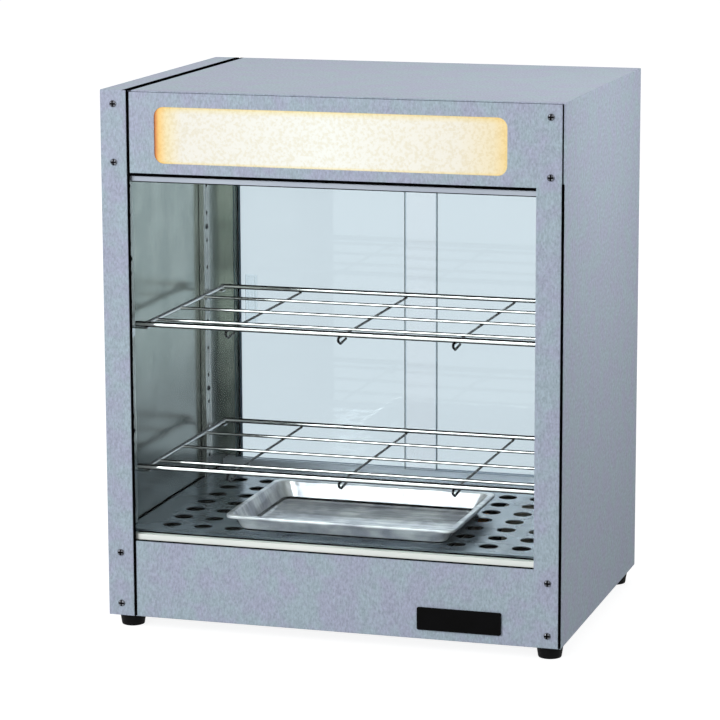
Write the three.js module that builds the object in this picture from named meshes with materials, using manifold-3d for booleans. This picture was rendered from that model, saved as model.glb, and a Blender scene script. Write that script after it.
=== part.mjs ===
// Heated display case: a double-walled steel cabinet on four rubber feet, with a lit sign in its
// header, fixed front glass, sliding rear glass doors, two wire shelves and a heater under the floor.
// Millimetres, +Z up, X to the right as seen from the front, front towards -Y, table at Z = 0.
import * as THREE from 'three';
import { mergeVertices } from 'three/addons/utils/BufferGeometryUtils.js';
import Module from 'manifold-3d';

const wasm = await Module();
wasm.setup();

// Casing
const caseWidth = 480;
const caseDepth = 350;
const caseHeight = 545;
const caseSheet = 1.2;
const sideFlange = 28;
const jointGap = 1.5;
const headerHeight = 83.5;
const fasciaHeight = 80;
const stileWidth = 28.4;
const hemDepth = 2;
const rearPanelHeight = 81.5;

// Clearances
const seatGap = 0.3;
const holeClearance = 0.3;
const cutOver = 2;

// Liner, the polished inner walls
const linerSheet = 0.8;
const linerInset = 10;
const linerFlange = 16;
const linerTab = 34;
const ceilingDrop = 88;
const ceilingFlange = 12;

// Floor of the chamber
const floorHeight = 88;
const floorSheet = 1;
const floorLip = 8;
const floorFrontInset = 21.3;
const ventRadius = 10;
const ventColumnPitch = 34;
const ventRowPitch = 35.5;
const ventSideInset = 43;
const ventFrontInset = 27.7;
const ventColumns = 3;

// Feet
const footHeight = 15;
const footTopRadius = 14;
const footBottomRadius = 12;
const footSideInset = 17;
const footFrontInset = 25;
const footRearInset = 25;
const footBoreRadius = 2.8;
const footSinkRadius = 5;
const footSinkDepth = 5;

// Screws
const screwRadius = 1.9;
const screwReach = 6;
const screwSideInset = 14;
const rearTabScrewInset = 38;
const screwFootRise = 13;
const screwFasciaRise = 67;
const screwHeaderDrop = 73;
const screwTopDrop = 14;

// Front glass and its channels
const glassThickness = 4;
const glassFit = 0.3;
const channelWall = 2;
const channelSetback = 3.7;
const channelTopDrop = 79;
const channelTopHeight = 13;
const channelBottomRise = 73;
const channelBottomHeight = 14;
const channelSole = 2;
const sillSheet = 1.2;
const sillDrop = 2;
const sillGap = 1.2;
const sealHeight = 2;
const sealThickness = 2;

// Sign
const signSideInset = 57.5;
const signHeight = 57;
const signDrop = 16;
const signCorner = 10;
const signLap = 5.5;
const signThickness = 3;
const signFrameWidth = 4;
const signFrameThickness = 3;

// Sign lamp
const lampRadius = 12;
const lampEndInset = 32.5;
const lampSetback = 36;
const lampCapLength = 8;
const lampCapRadius = 12.5;
const socketLength = 18;
const socketWidth = 30;
const socketCrown = 2.4;
const reflectorSheet = 1;
const reflectorDepth = 44;
const reflectorDrop = 6.9;
const reflectorLip = 8;

// Shelf supports
const pilasterWidth = 18;
const pilasterDepth = 6;
const pilasterSheet = 1;
const pilasterFrontInset = 38;
const pilasterRearInset = 80;
const shelfHoleRadius = 2.4;
const shelfHolePitch = 30;
const shelfHoleRise = 112.5;
const shelfHoleDrop = 12;
const pilasterScrewSteps = 2.5;
const clipPegRadius = 2;
const clipPegLength = 4;
const clipWidth = 10;
const clipSheet = 1.5;
const clipDrop = 6;
const clipArm = 19;
const clipRise = 5.2;

// Wire shelves
const lowerShelfSteps = 1;
const upperShelfSteps = 6;
const shelfWallGap = 11;
const shelfRodInset = 10;
const shelfFrontInset = 35;
const shelfRearInset = 70;
const shelfWireGap = 35;
const shelfWirePitch = 72;
const frontRodRadius = 3;
const backRodRadius = 2.6;
const sideRodRadius = 2.4;
const wireRadius = 1.7;
const weldSink = 0.5;
const crossPitch = 120;
const crossOverhang = 3;
const hookDrop = 8;
const hookReach = 12;

// Tray
const trayLength = 245;
const trayWidth = 175;
const trayHeight = 19;
const trayCorner = 16;
const traySheet = 0.8;
const trayTaper = 9;
const trayRim = 6;
const trayRimDrop = 3;
const trayFrontInset = 25.5;

// Rear doors and tracks
const doorOverlap = 35;
const doorSideLap = 6.5;
const doorThickness = 4;
const doorPlay = 0.5;
const trackOuterWall = 1.5;
const trackMiddleWall = 3.5;
const trackRearGap = 0.7;
const trackTopDrop = 79;
const trackTopHeight = 14;
const trackTopGroove = 12;
const trackBottomRise = 82;
const trackBottomHeight = 13;
const trackBottomGroove = 6;
const doorTopLap = 10;
const pullWidth = 14;
const pullHeight = 60;
const pullThickness = 3;
const pullInset = 12.5;
const pullDish = 1.8;
const pullDishBorder = 3;

// Name plate, blank
const plateWidth = 87.3;
const plateHeight = 23.5;
const plateThickness = 2;
const plateSideInset = 61.1;
const plateRise = 9.8;
const plateCorner = 2;

// Heater and its shield
const heaterRodRadius = 4;
const heaterHalfWidth = 80;
const heaterFrontInset = 60;
const heaterRearInset = 65;
const heaterHeight = 46;
const heaterBend = 40;
const shieldSideInset = 50;
const shieldFrontInset = 40;
const shieldRearInset = 80;
const shieldHeight = 24;
const shieldSheet = 1;
const bracketSheet = 2;
const bracketOverhang = 15;
const bracketWrap = 4;
const bracketStrap = 14;
const bracketRodInset = 50;

// Controls on the rear panel
const controlHeight = 42;
const knobSideInset = 125;
const knobRadius = 19;
const knobHeight = 16;
const knobSkirtEdge = 2.8;
const knobSkirtHeight = 4;
const knobGripFoot = 14.7;
const knobGripRadius = 14;
const knobBevel = 1;
const knobStandoff = 1;
const knobBoreDepth = 11;
const pointerWidth = 3;
const pointerRise = 0.8;
const pointerStart = 3;
const pointerEnd = 12;
const shaftRadius = 3;
const thermostatWidth = 36;
const thermostatDepth = 28;
const bushRadius = 5;
const bulbRadius = 3;
const bulbLength = 90;
const capillaryRadius = 1;
const switchSpacing = 50;
const switchWidth = 21;
const switchHeight = 30;
const switchBezel = 2;
const switchDepth = 22;
const switchWall = 2.2;
const rockerThickness = 7;
const rockerTilt = 10;
const rockerPlay = 1;
const rockerPinRadius = 1;
const pilotSpacing = 32;
const knobSpacing = 43;
const pilotRadius = 5;
const pilotBezelRadius = 7;
const pilotBezelRise = 1;
const pilotLensRadius = 4;
const pilotCrownRadius = 3.2;
const pilotDepth = 18;
const pilotRise = 2;
const glandSideInset = 70;
const glandRadius = 9;
const glandFlange = 12;
const glandFlangeEdge = 1.8;
const glandCrownRadius = 9.6;
const glandBore = 4.5;
const glandDepth = 10;
const glandRise = 3;
const terminalLength = 64;
const terminalWidth = 22;
const terminalHeight = 18;
const terminalSpacing = 80;
const terminalGap = 34;
const terminalSlot = 3;
const terminalWays = 4;

// Base plate
const baseFlange = 18;
const baseSlotLength = 60;
const baseSlotWidth = 6;
const baseSlotPitch = 18;
const baseSlotCount = 5;

// Facets
const smallSides = 10;
const wireSides = 8;
const roundSides = 24;
const cornerSteps = 4;
const heaterSteps = 36;
const capillarySteps = 14;
const capillarySides = 6;

// Places worked out from the sizes
const left = -caseWidth / 2;
const right = caseWidth / 2;
const front = -caseDepth / 2;
const rear = caseDepth / 2;
const bottom = footHeight;
const top = footHeight + caseHeight;
const insideFront = front + caseSheet;
const insideRear = rear - caseSheet;
const insideTop = top - caseSheet;
const wallFace = right - linerInset;
const linerFront = insideFront + seatGap;
const linerRear = insideRear - seatGap;
const linerFoot = bottom + caseSheet + seatGap;
const openingTop = top - headerHeight;
const openingSide = right - sideFlange;
const stileEdge = right - stileWidth;
const floorTop = bottom + floorHeight;
const ceilingUnder = top - ceilingDrop;
const channelFront = front + channelSetback;
const channelDepth = 2 * channelWall + glassThickness + 2 * glassFit;
const channelRear = channelFront + channelDepth;
const floorFront = front + floorFrontInset;
const trackRear = linerRear - linerSheet - trackRearGap;
const trackGroove = doorThickness + 2 * doorPlay;
const trackDepth = 2 * trackOuterWall + trackMiddleWall + 2 * trackGroove;
const trackFront = trackRear - trackDepth;
const panelEdge = openingSide - jointGap;
const signWidth = caseWidth - 2 * signSideInset;
const signMiddle = top - signDrop - signHeight / 2;

// Looks
const finish = (color, roughness, metalness, extra = {}) => () =>
  new THREE.MeshStandardMaterial({ color, roughness, metalness, flatShading: true, ...extra });
const caseSteel = finish(0xa9b1c4, 0.45, 0.6);
const mirrorSteel = finish(0x8c9a98, 0.12, 1);
const chromeWire = finish(0xd9dadb, 0.12, 1);
const traySteel = finish(0xc9cccf, 0.2, 1);
const aluminium = finish(0xd5d8dc, 0.35, 0.9);
const clearGlass = finish(0xcfdde6, 0.05, 0, { transparent: true, opacity: 0.3 });
const clearAcrylic = finish(0xe4eaee, 0.08, 0, { transparent: true, opacity: 0.4 });
const litAcrylic = finish(0xfff2c8, 0.4, 0, { emissive: 0xffe6a8, emissiveIntensity: 0.8 });
const whiteEnamel = finish(0xe9e9e4, 0.5, 0);
const blackRubber = finish(0x141414, 0.85, 0);
const blackPlastic = finish(0x1b1b1d, 0.45, 0);
const blackGloss = finish(0x0b0b0c, 0.2, 0);
const lampGlass = finish(0xfff6e0, 0.3, 0, { emissive: 0xffe2a0, emissiveIntensity: 1 });
const darkSheath = finish(0x5b5651, 0.55, 0.9);
const paleCeramic = finish(0xe6e0d2, 0.6, 0);
const brass = finish(0xb59a55, 0.35, 1);
const amberLens = finish(0xd8641a, 0.2, 0);

// A closed geometry as a solid that can be joined and cut
const solid = (geometry) => {
  geometry.deleteAttribute('normal');
  geometry.deleteAttribute('uv');
  const merged = mergeVertices(geometry);
  const corners = merged.index.array;
  const kept = [];
  for (let i = 0; i < corners.length; i += 3) {
    const [a, b, c] = corners.subarray(i, i + 3);
    if (a !== b && b !== c && c !== a) kept.push(a, b, c);
  }
  const vertProperties = new Float32Array(merged.attributes.position.array);
  const triVerts = new Uint32Array(kept);
  return new wasm.Manifold(new wasm.Mesh({ numProp: 3, vertProperties, triVerts }));
};

const join = (pieces) => pieces.reduce((whole, piece) => whole.add(piece));
const cut = (whole, pieces) => pieces.reduce((rest, piece) => rest.subtract(piece), whole);
const span = (a, b) => [Math.min(a, b), Math.max(a, b)];
const around = (centre, size) => [centre - size / 2, centre + size / 2];
const vector = (place) => new THREE.Vector3(...place);

// A box given by its low and high sides along X, Y and Z
const block = ([x0, x1], [y0, y1], [z0, z1]) => {
  const shape = new THREE.BoxGeometry(x1 - x0, y1 - y0, z1 - z0);
  shape.translate((x0 + x1) / 2, (y0 + y1) / 2, (z0 + z1) / 2);
  return solid(shape);
};

const turnTo = (shape, direction, place) => {
  const turn = new THREE.Quaternion().setFromUnitVectors(vector([0, 1, 0]), direction.normalize());
  shape.applyQuaternion(turn);
  shape.translate(...place);
  return shape;
};

// A round rod between two points
const rod = (from, to, radius, sides = wireSides) => {
  const along = vector(to).sub(vector(from));
  const middle = vector(from).add(vector(to)).multiplyScalar(0.5);
  const shape = new THREE.CylinderGeometry(radius, radius, along.length(), sides);
  return solid(turnTo(shape, along, middle.toArray()));
};

// A turned solid: radius and height pairs about a line from a place
const turned = (profile, place, direction, sides = roundSides) => {
  const points = profile.map(([radius, height]) => new THREE.Vector2(radius, height));
  return solid(turnTo(new THREE.LatheGeometry(points, sides), vector(direction), place));
};

// A tube along a smooth curve, closed at both ends
const tube = (curve, radius, steps, sides = wireSides) => {
  const section = new THREE.Shape();
  section.absarc(0, 0, radius, 0, 2 * Math.PI);
  const options = { extrudePath: curve, steps, curveSegments: sides / 2, bevelEnabled: false };
  return solid(new THREE.ExtrudeGeometry(section, options));
};

const roundedShape = (width, height, corner, [x, z] = [0, 0]) => {
  const [x0, x1] = around(x, width);
  const [z0, z1] = around(z, height);
  const shape = new THREE.Shape();
  shape.absarc(x1 - corner, z0 + corner, corner, -Math.PI / 2, 0);
  shape.absarc(x1 - corner, z1 - corner, corner, 0, Math.PI / 2);
  shape.absarc(x0 + corner, z1 - corner, corner, Math.PI / 2, Math.PI);
  shape.absarc(x0 + corner, z0 + corner, corner, Math.PI, 1.5 * Math.PI);
  shape.closePath();
  return shape;
};

// An upright plate whose outline lies in X and Z, between two places along Y
const uprightPlate = (shape, [y0, y1]) => {
  const options = { depth: y1 - y0, bevelEnabled: false, curveSegments: cornerSteps };
  const plate = new THREE.ExtrudeGeometry(shape, options);
  plate.rotateX(Math.PI / 2);
  plate.translate(0, y1, 0);
  return solid(plate);
};

// A flat plate whose outline lies in X and Y, between two heights
const flatPlate = (shape, [z0, z1], curveSegments = cornerSteps) => {
  const options = { depth: z1 - z0, bevelEnabled: false, curveSegments };
  const plate = new THREE.ExtrudeGeometry(shape, options);
  plate.translate(0, 0, z0);
  return solid(plate);
};

const stand = new THREE.Group();
const addPart = (name, body, look) => {
  const { vertProperties, triVerts } = body.getMesh();
  const geometry = new THREE.BufferGeometry();
  geometry.setAttribute('position', new THREE.BufferAttribute(vertProperties, 3));
  geometry.setIndex(new THREE.BufferAttribute(triVerts, 1));
  geometry.computeVertexNormals();
  const mesh = new THREE.Mesh(geometry, look());
  mesh.name = name;
  stand.add(mesh);
};

// Casing screws: places on the front flange and stile, and on the rear flanges and tabs
const sideScrewPlaces = [left + screwSideInset, right - screwSideInset];
const tabScrewPlaces = [left + rearTabScrewInset, right - rearTabScrewInset];
const screwHeights = [
  bottom + screwFootRise,
  bottom + screwFasciaRise,
  top - screwHeaderDrop,
  top - screwTopDrop,
];
const screwHoleRadius = screwRadius + holeClearance;
const screwHoles = (places, face, inward) => {
  const [y0, y1] = [face - inward * cutOver, face + inward * screwReach];
  return places.flatMap((x) =>
    screwHeights.map((z) => rod([x, y0, z], [x, y1, z], screwHoleRadius, smallSides)));
};

const leftSidePanel = () => {
  const shell = block([left, -openingSide], [front, rear], [bottom, top]);
  const hollow = block([left + caseSheet, cutOver - openingSide], [insideFront, insideRear],
    [bottom - cutOver, insideTop]);
  const sideHoles = sideScrewPlaces.slice(0, 1);
  return cut(shell, [hollow, ...screwHoles(sideHoles, front, 1), ...screwHoles(sideHoles, rear, -1)]);
};

// Top and right side, folded from one sheet with a flange at the rear
const outerCover = () => {
  const sheets = [
    block([jointGap - openingSide, right], [front, rear], [insideTop, top]),
    block([right - caseSheet, right], [front, rear], [bottom, top]),
    block([openingSide, right], [insideRear, rear], [bottom, top]),
  ];
  return cut(join(sheets), screwHoles(sideScrewPlaces.slice(1), rear, -1));
};

// Header, right stile and fascia are one sheet with a doubled edge round the opening
const frontFrame = () => {
  const frameLeft = jointGap - openingSide;
  const frameRight = right - caseSheet - jointGap;
  const frameTop = insideTop - seatGap;
  const fasciaTop = bottom + fasciaHeight;
  const outline = new THREE.Shape();
  outline.moveTo(frameLeft, bottom);
  outline.lineTo(frameRight, bottom);
  outline.lineTo(frameRight, frameTop);
  outline.lineTo(frameLeft, frameTop);
  outline.lineTo(frameLeft, openingTop);
  outline.lineTo(stileEdge, openingTop);
  outline.lineTo(stileEdge, fasciaTop);
  outline.lineTo(frameLeft, fasciaTop);
  outline.holes.push(roundedShape(signWidth, signHeight, signCorner, [0, signMiddle]));
  const hem = [insideFront, insideFront + caseSheet];
  const sheets = [
    uprightPlate(outline, [front, insideFront]),
    block([frameLeft, stileEdge + hemDepth], hem, [openingTop, openingTop + hemDepth]),
    block([stileEdge, stileEdge + hemDepth], hem, [fasciaTop - hemDepth, openingTop + hemDepth]),
    block([frameLeft, stileEdge + hemDepth], hem, [fasciaTop - hemDepth, fasciaTop]),
  ];
  return cut(join(sheets), screwHoles(sideScrewPlaces.slice(1), front, 1));
};

const rearHeader = () => {
  const plate = block([-panelEdge, panelEdge], [insideRear, rear], [openingTop, insideTop - seatGap]);
  return cut(plate, screwHoles(tabScrewPlaces, rear, -1));
};

// Places of the controls along X, all at one height
const controlLine = bottom + controlHeight;
const knobX = right - knobSideInset;
const pilotX = knobX - knobSpacing;
const powerSwitchX = pilotX - pilotSpacing;
const lampSwitchX = powerSwitchX - switchSpacing;
const glandX = left + glandSideInset;
const terminalX = glandX + terminalSpacing;

// The lower rear plate, cut for the controls
const rearControlPanel = () => {
  const plate = block([-panelEdge, panelEdge], [insideRear, rear], [bottom, bottom + rearPanelHeight]);
  const through = [insideRear - cutOver, rear + cutOver];
  const hole = (x, radius) =>
    rod([x, through[0], controlLine], [x, through[1], controlLine], radius + holeClearance, roundSides);
  const window = (x) => block(around(x, switchWidth + 2 * holeClearance), through,
    around(controlLine, switchHeight + 2 * holeClearance));
  return cut(plate, [
    ...screwHoles(tabScrewPlaces, rear, -1),
    hole(knobX, bushRadius),
    hole(pilotX, pilotRadius),
    hole(glandX, glandRadius),
    window(powerSwitchX),
    window(lampSwitchX),
  ]);
};

// Lines of the shelf supports along Y, and the heights of their holes and screws
const pilasterLines = [front + pilasterFrontInset, rear - pilasterRearInset];
const shelfHoleFirst = bottom + shelfHoleRise;
const shelfHoleCount = 1 + Math.floor((ceilingUnder - shelfHoleDrop - shelfHoleFirst) / shelfHolePitch);
const shelfHoles = Array.from({ length: shelfHoleCount }, (_, i) => shelfHoleFirst + i * shelfHolePitch);
const pilasterScrewHeights = [
  shelfHoles[0] + pilasterScrewSteps * shelfHolePitch,
  shelfHoles[shelfHoleCount - 1] - pilasterScrewSteps * shelfHolePitch,
];

// A polished inner wall with flanges behind the outer ones, on the left (-1) or right (1)
const innerWall = (side) => {
  const face = side * wallFace;
  const heights = [linerFoot, insideTop - seatGap];
  const flangeTo = face - side * linerFlange;
  const tabTo = face - side * linerTab;
  const rearSheet = [linerRear - linerSheet, linerRear];
  const sheets = [
    block(span(face, face + side * linerSheet), [linerFront, linerRear], heights),
    block(span(flangeTo, face), [linerFront, linerFront + linerSheet], heights),
    block(span(flangeTo, face), rearSheet, heights),
    block(span(tabTo, face), rearSheet, [openingTop, heights[1]]),
    block(span(tabTo, face), rearSheet, [linerFoot, bottom + rearPanelHeight - seatGap]),
  ];
  const [x0, x1] = span(face - side * cutOver, face + side * (linerSheet + cutOver));
  const pilot = (y) => pilasterScrewHeights.map((z) => rod([x0, y, z], [x1, y, z], screwHoleRadius));
  const hand = side < 0 ? 0 : 1;
  return cut(join(sheets), [
    ...screwHoles([sideScrewPlaces[hand]], front, 1),
    ...screwHoles([sideScrewPlaces[hand], tabScrewPlaces[hand]], rear, -1),
    ...pilasterLines.flatMap(pilot),
  ]);
};

const chamberCeiling = () => {
  const depth = [channelRear + seatGap, trackFront - seatGap];
  const edge = wallFace - seatGap;
  return join([
    block([-edge, edge], depth, [ceilingUnder, ceilingUnder + linerSheet]),
    block([-edge, linerSheet - edge], depth, [ceilingUnder, ceilingUnder + ceilingFlange]),
    block([edge - linerSheet, edge], depth, [ceilingUnder, ceilingUnder + ceilingFlange]),
  ]);
};

const footPlaces = [left + footSideInset, right - footSideInset].flatMap((x) =>
  [front + footFrontInset, rear - footRearInset].map((y) => [x, y]));

// Sheet under the case with turned-up sides and a row of air slots
const basePlate = () => {
  const edge = right - caseSheet - seatGap;
  const depth = [insideFront + seatGap, insideRear - seatGap];
  const sheets = [
    block([-edge, edge], depth, [bottom, bottom + caseSheet]),
    block([-edge, caseSheet - edge], depth, [bottom, bottom + baseFlange]),
    block([edge - caseSheet, edge], depth, [bottom, bottom + baseFlange]),
  ];
  const through = [bottom - cutOver, bottom + caseSheet + cutOver];
  const slots = Array.from({ length: baseSlotCount }, (_, i) => {
    const y = (i - (baseSlotCount - 1) / 2) * baseSlotPitch;
    return flatPlate(roundedShape(baseSlotLength, baseSlotWidth, baseSlotWidth / 2, [0, y]), through);
  });
  const bores = footPlaces.map(([x, y]) =>
    rod([x, y, through[0]], [x, y, through[1]], footBoreRadius, smallSides));
  return cut(join(sheets), [...slots, ...bores]);
};

addPart('left_side_panel', leftSidePanel(), caseSteel);
addPart('outer_cover', outerCover(), caseSteel);
addPart('front_frame', frontFrame(), caseSteel);
addPart('rear_header', rearHeader(), caseSteel);
addPart('rear_control_panel', rearControlPanel(), caseSteel);
addPart('base_plate', basePlate(), caseSteel);
addPart('left_inner_wall', innerWall(-1), mirrorSteel);
addPart('right_inner_wall', innerWall(1), mirrorSteel);
addPart('chamber_ceiling', chamberCeiling(), mirrorSteel);

// Front glass, held between an upper and a lower channel
const channelTop = [top - channelTopDrop - channelTopHeight, top - channelTopDrop];
const channelBottom = [bottom + channelBottomRise, bottom + channelBottomRise + channelBottomHeight];
const channelSlot = [channelFront + channelWall, channelRear - channelWall];
const chamberWidth = [seatGap - wallFace, wallFace - seatGap];

const topChannel = () => cut(block(chamberWidth, [channelFront, channelRear], channelTop), [
  block([-caseWidth, caseWidth], channelSlot, [channelTop[0] - cutOver, channelTop[1] - channelSole]),
]);

const bottomChannel = () => {
  const sillTop = channelBottom[1] - sillDrop;
  const slotHeights = [channelBottom[0] + channelSole, channelBottom[1] + cutOver];
  const channel = cut(block(chamberWidth, [channelFront, channelRear], channelBottom), [
    block([-caseWidth, caseWidth], channelSlot, slotHeights),
  ]);
  return channel.add(block(chamberWidth, [channelRear - channelWall / 2, floorFront - sillGap],
    [sillTop - sillSheet, sillTop]));
};

const glassFront = channelSlot[0] + glassFit;
const frontGlass = () => block(chamberWidth, [glassFront, glassFront + glassThickness],
  [channelBottom[0] + channelSole + glassFit, channelTop[1] - channelSole - glassFit]);
const glassSeal = () => block([-panelEdge, stileEdge - seatGap],
  [channelFront - seatGap - sealThickness, channelFront - seatGap],
  [openingTop - seatGap - sealHeight, openingTop - seatGap]);

// Lit sign behind the header window, with its lamp on a white reflector
const signPanelFront = insideFront + seatGap;
const signPanelWidth = signWidth + 2 * signLap;
const signPanelHeight = signHeight + 2 * signLap;
const signSheet = (inset, depth) =>
  block(around(0, signPanelWidth - 2 * inset), depth, around(signMiddle, signPanelHeight - 2 * inset));
const signPanel = () => signSheet(0, [signPanelFront, signPanelFront + signThickness]);
const signFrame = () => {
  const y0 = signPanelFront + signThickness + seatGap;
  const y1 = y0 + signFrameThickness;
  return signSheet(0, [y0, y1]).subtract(signSheet(signFrameWidth, [y0 - cutOver, y1 + cutOver]));
};

const lampLine = insideFront + lampSetback;
const lampEnd = signWidth / 2 - lampEndInset;
const signLamp = () => {
  const capEnd = lampEnd - lampCapLength;
  const profile = [
    [0, -lampEnd],
    [lampCapRadius, -lampEnd],
    [lampCapRadius, -capEnd],
    [lampRadius, -capEnd],
    [lampRadius, capEnd],
    [lampCapRadius, capEnd],
    [lampCapRadius, lampEnd],
    [0, lampEnd],
  ];
  return turned(profile, [0, lampLine, signMiddle], [1, 0, 0]);
};

const reflectorFloor = ceilingUnder + linerSheet + seatGap;
const reflectorTop = signMiddle + signHeight / 2 - reflectorDrop;
const lampReflector = () => {
  const along = around(0, 2 * (lampEnd + socketLength + seatGap));
  const [near, far] = around(lampLine, reflectorDepth);
  return join([
    block(along, [near, far], [reflectorFloor, reflectorFloor + reflectorSheet]),
    block(along, [far - reflectorSheet, far], [reflectorFloor, reflectorTop]),
    block(along, [far - reflectorLip, far], [reflectorTop - reflectorSheet, reflectorTop]),
  ]);
};

const lampSocket = (side) => {
  const inner = side * (lampEnd + seatGap);
  const sole = reflectorFloor + reflectorSheet + seatGap;
  const crown = signMiddle + lampCapRadius + socketCrown;
  return block(span(inner, inner + side * socketLength), around(lampLine, socketWidth), [sole, crown]);
};

// Shelf supports: a punched channel on the wall, with pegs in its holes
const pilasterFace = wallFace - pilasterDepth;
const pilaster = (side, y) => {
  const heights = [floorTop + seatGap, ceilingUnder - seatGap];
  const depth = around(y, pilasterWidth);
  const outside = side * (wallFace - seatGap);
  const shell = block(span(side * pilasterFace, outside), depth, heights);
  const hollow = block(span(side * (pilasterFace + pilasterSheet), outside + side * cutOver),
    around(y, pilasterWidth - 2 * pilasterSheet), [heights[0] - cutOver, heights[1] + cutOver]);
  const [x0, x1] = [side * (pilasterFace - cutOver), side * (pilasterFace + pilasterSheet + cutOver)];
  const bore = (z, radius) => rod([x0, y, z], [x1, y, z], radius);
  return cut(shell, [
    hollow,
    ...shelfHoles.map((z) => bore(z, shelfHoleRadius)),
    ...pilasterScrewHeights.map((z) => bore(z, screwHoleRadius)),
  ]);
};

const shelfClip = (hole, side, y) => {
  const z = shelfHoles[hole];
  const rest = z + clipRise;
  const back = pilasterFace - seatGap;
  return join([
    block(span(side * (back - clipSheet), side * back), around(y, clipWidth), [z - clipDrop, rest]),
    block(span(side * (back - clipArm), side * back), around(y, clipWidth), [rest - clipSheet, rest]),
    rod([side * (back - clipSheet / 2), y, z], [side * (back + clipPegLength), y, z], clipPegRadius),
  ]);
};

// A welded wire shelf: thick front rod, long wires over cross wires whose front ends hook down
const wireShelf = (hole) => {
  const sole = shelfHoles[hole] + clipRise + seatGap;
  const deck = sole + frontRodRadius;
  const halfSpan = wallFace - shelfWallGap;
  const sideRodX = halfSpan - shelfRodInset;
  const y0 = front + shelfFrontInset;
  const y1 = rear - shelfRearInset;
  const wireCount = 1 + Math.floor((y1 - y0 - shelfWireGap) / shelfWirePitch);
  const wireLines = Array.from({ length: wireCount }, (_, i) => y0 + shelfWireGap + i * shelfWirePitch);
  const long = (y, radius, half) => rod([-half, y, sole + radius], [half, y, sole + radius], radius);
  const sideRod = (x) => rod([x, y0, sole + sideRodRadius], [x, y1, sole + sideRodRadius], sideRodRadius);
  const crossHeight = sole - wireRadius + weldSink;
  const hookFront = y0 - crossOverhang;
  const cross = (x) => join([
    rod([x, y1, crossHeight], [x, hookFront - wireRadius, crossHeight], wireRadius),
    rod([x, hookFront, crossHeight + wireRadius], [x, hookFront, crossHeight - hookDrop], wireRadius),
    rod([x, hookFront, crossHeight - hookDrop + wireRadius / 2],
      [x, hookFront + hookReach, crossHeight - wireRadius], wireRadius),
  ]);
  return join([
    rod([-halfSpan, y0, deck], [halfSpan, y0, deck], frontRodRadius, smallSides),
    long(y1, backRodRadius, sideRodX + sideRodRadius),
    ...wireLines.map((y) => long(y, wireRadius, sideRodX)),
    sideRod(-sideRodX),
    sideRod(sideRodX),
    ...[-crossPitch, 0, crossPitch].map(cross),
  ]);
};

// Perforated chamber floor
const floorPlate = () => {
  const [x0, x1] = chamberWidth;
  const y1 = trackFront - seatGap;
  const outline = new THREE.Shape();
  outline.moveTo(x0, floorFront);
  outline.lineTo(x1, floorFront);
  outline.lineTo(x1, y1);
  outline.lineTo(x0, y1);
  outline.closePath();
  const ventRows = 1 + Math.floor((y1 - floorFront - 2 * ventFrontInset) / ventRowPitch);
  for (const side of [-1, 1]) {
    for (let column = 0; column < ventColumns; column += 1) {
      const x = side * (wallFace - ventSideInset - column * ventColumnPitch);
      for (let row = 0; row < ventRows; row += 1) {
        const vent = new THREE.Path();
        vent.absarc(x, floorFront + ventFrontInset + row * ventRowPitch, ventRadius, 0, 2 * Math.PI);
        outline.holes.push(vent);
      }
    }
  }
  const lip = [floorTop - floorLip, floorTop];
  return join([
    flatPlate(outline, [floorTop - floorSheet, floorTop], smallSides / 2),
    block(chamberWidth, [floorFront, floorFront + floorSheet], lip),
    block(chamberWidth, [y1 - floorSheet, y1], lip),
  ]);
};

// Loose tray: tapered walls with round corners under a flat rim whose edge turns down
const tray = () => {
  const sole = floorTop + seatGap;
  const y = front + trayFrontInset + trayWidth / 2;
  const slab = (inset, [z0, z1]) => {
    const [wide, deep] = [trayLength - 2 * inset, trayWidth - 2 * inset];
    return flatPlate(roundedShape(wide, deep, trayCorner - inset / 2, [0, y]), [sole + z0, sole + z1]);
  };
  const funnel = (inset, [z0, z1]) => {
    const size = (height) => {
      const wall = 2 * (trayRim + inset + trayTaper * (1 - height / trayHeight));
      return [trayLength - wall, trayWidth - wall];
    };
    const [wide, deep] = size(z1);
    const options = { depth: z1 - z0, bevelEnabled: false, curveSegments: cornerSteps };
    const shape = new THREE.ExtrudeGeometry(roundedShape(wide, deep, trayCorner - trayRim), options);
    const place = shape.attributes.position;
    for (let i = 0; i < place.count; i += 1) {
      if (place.getZ(i) === 0) {
        place.setX(i, place.getX(i) * size(z0)[0] / wide);
        place.setY(i, place.getY(i) * size(z0)[1] / deep);
      }
    }
    shape.translate(0, y, sole + z0);
    return solid(shape);
  };
  const rim = slab(0, [trayHeight - trayRimDrop, trayHeight])
    .subtract(slab(traySheet, [trayHeight - trayRimDrop - cutOver, trayHeight - traySheet]));
  return rim.add(funnel(0, [0, trayHeight - traySheet / 2]))
    .subtract(funnel(traySheet, [traySheet, trayHeight + cutOver]));
};

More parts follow.
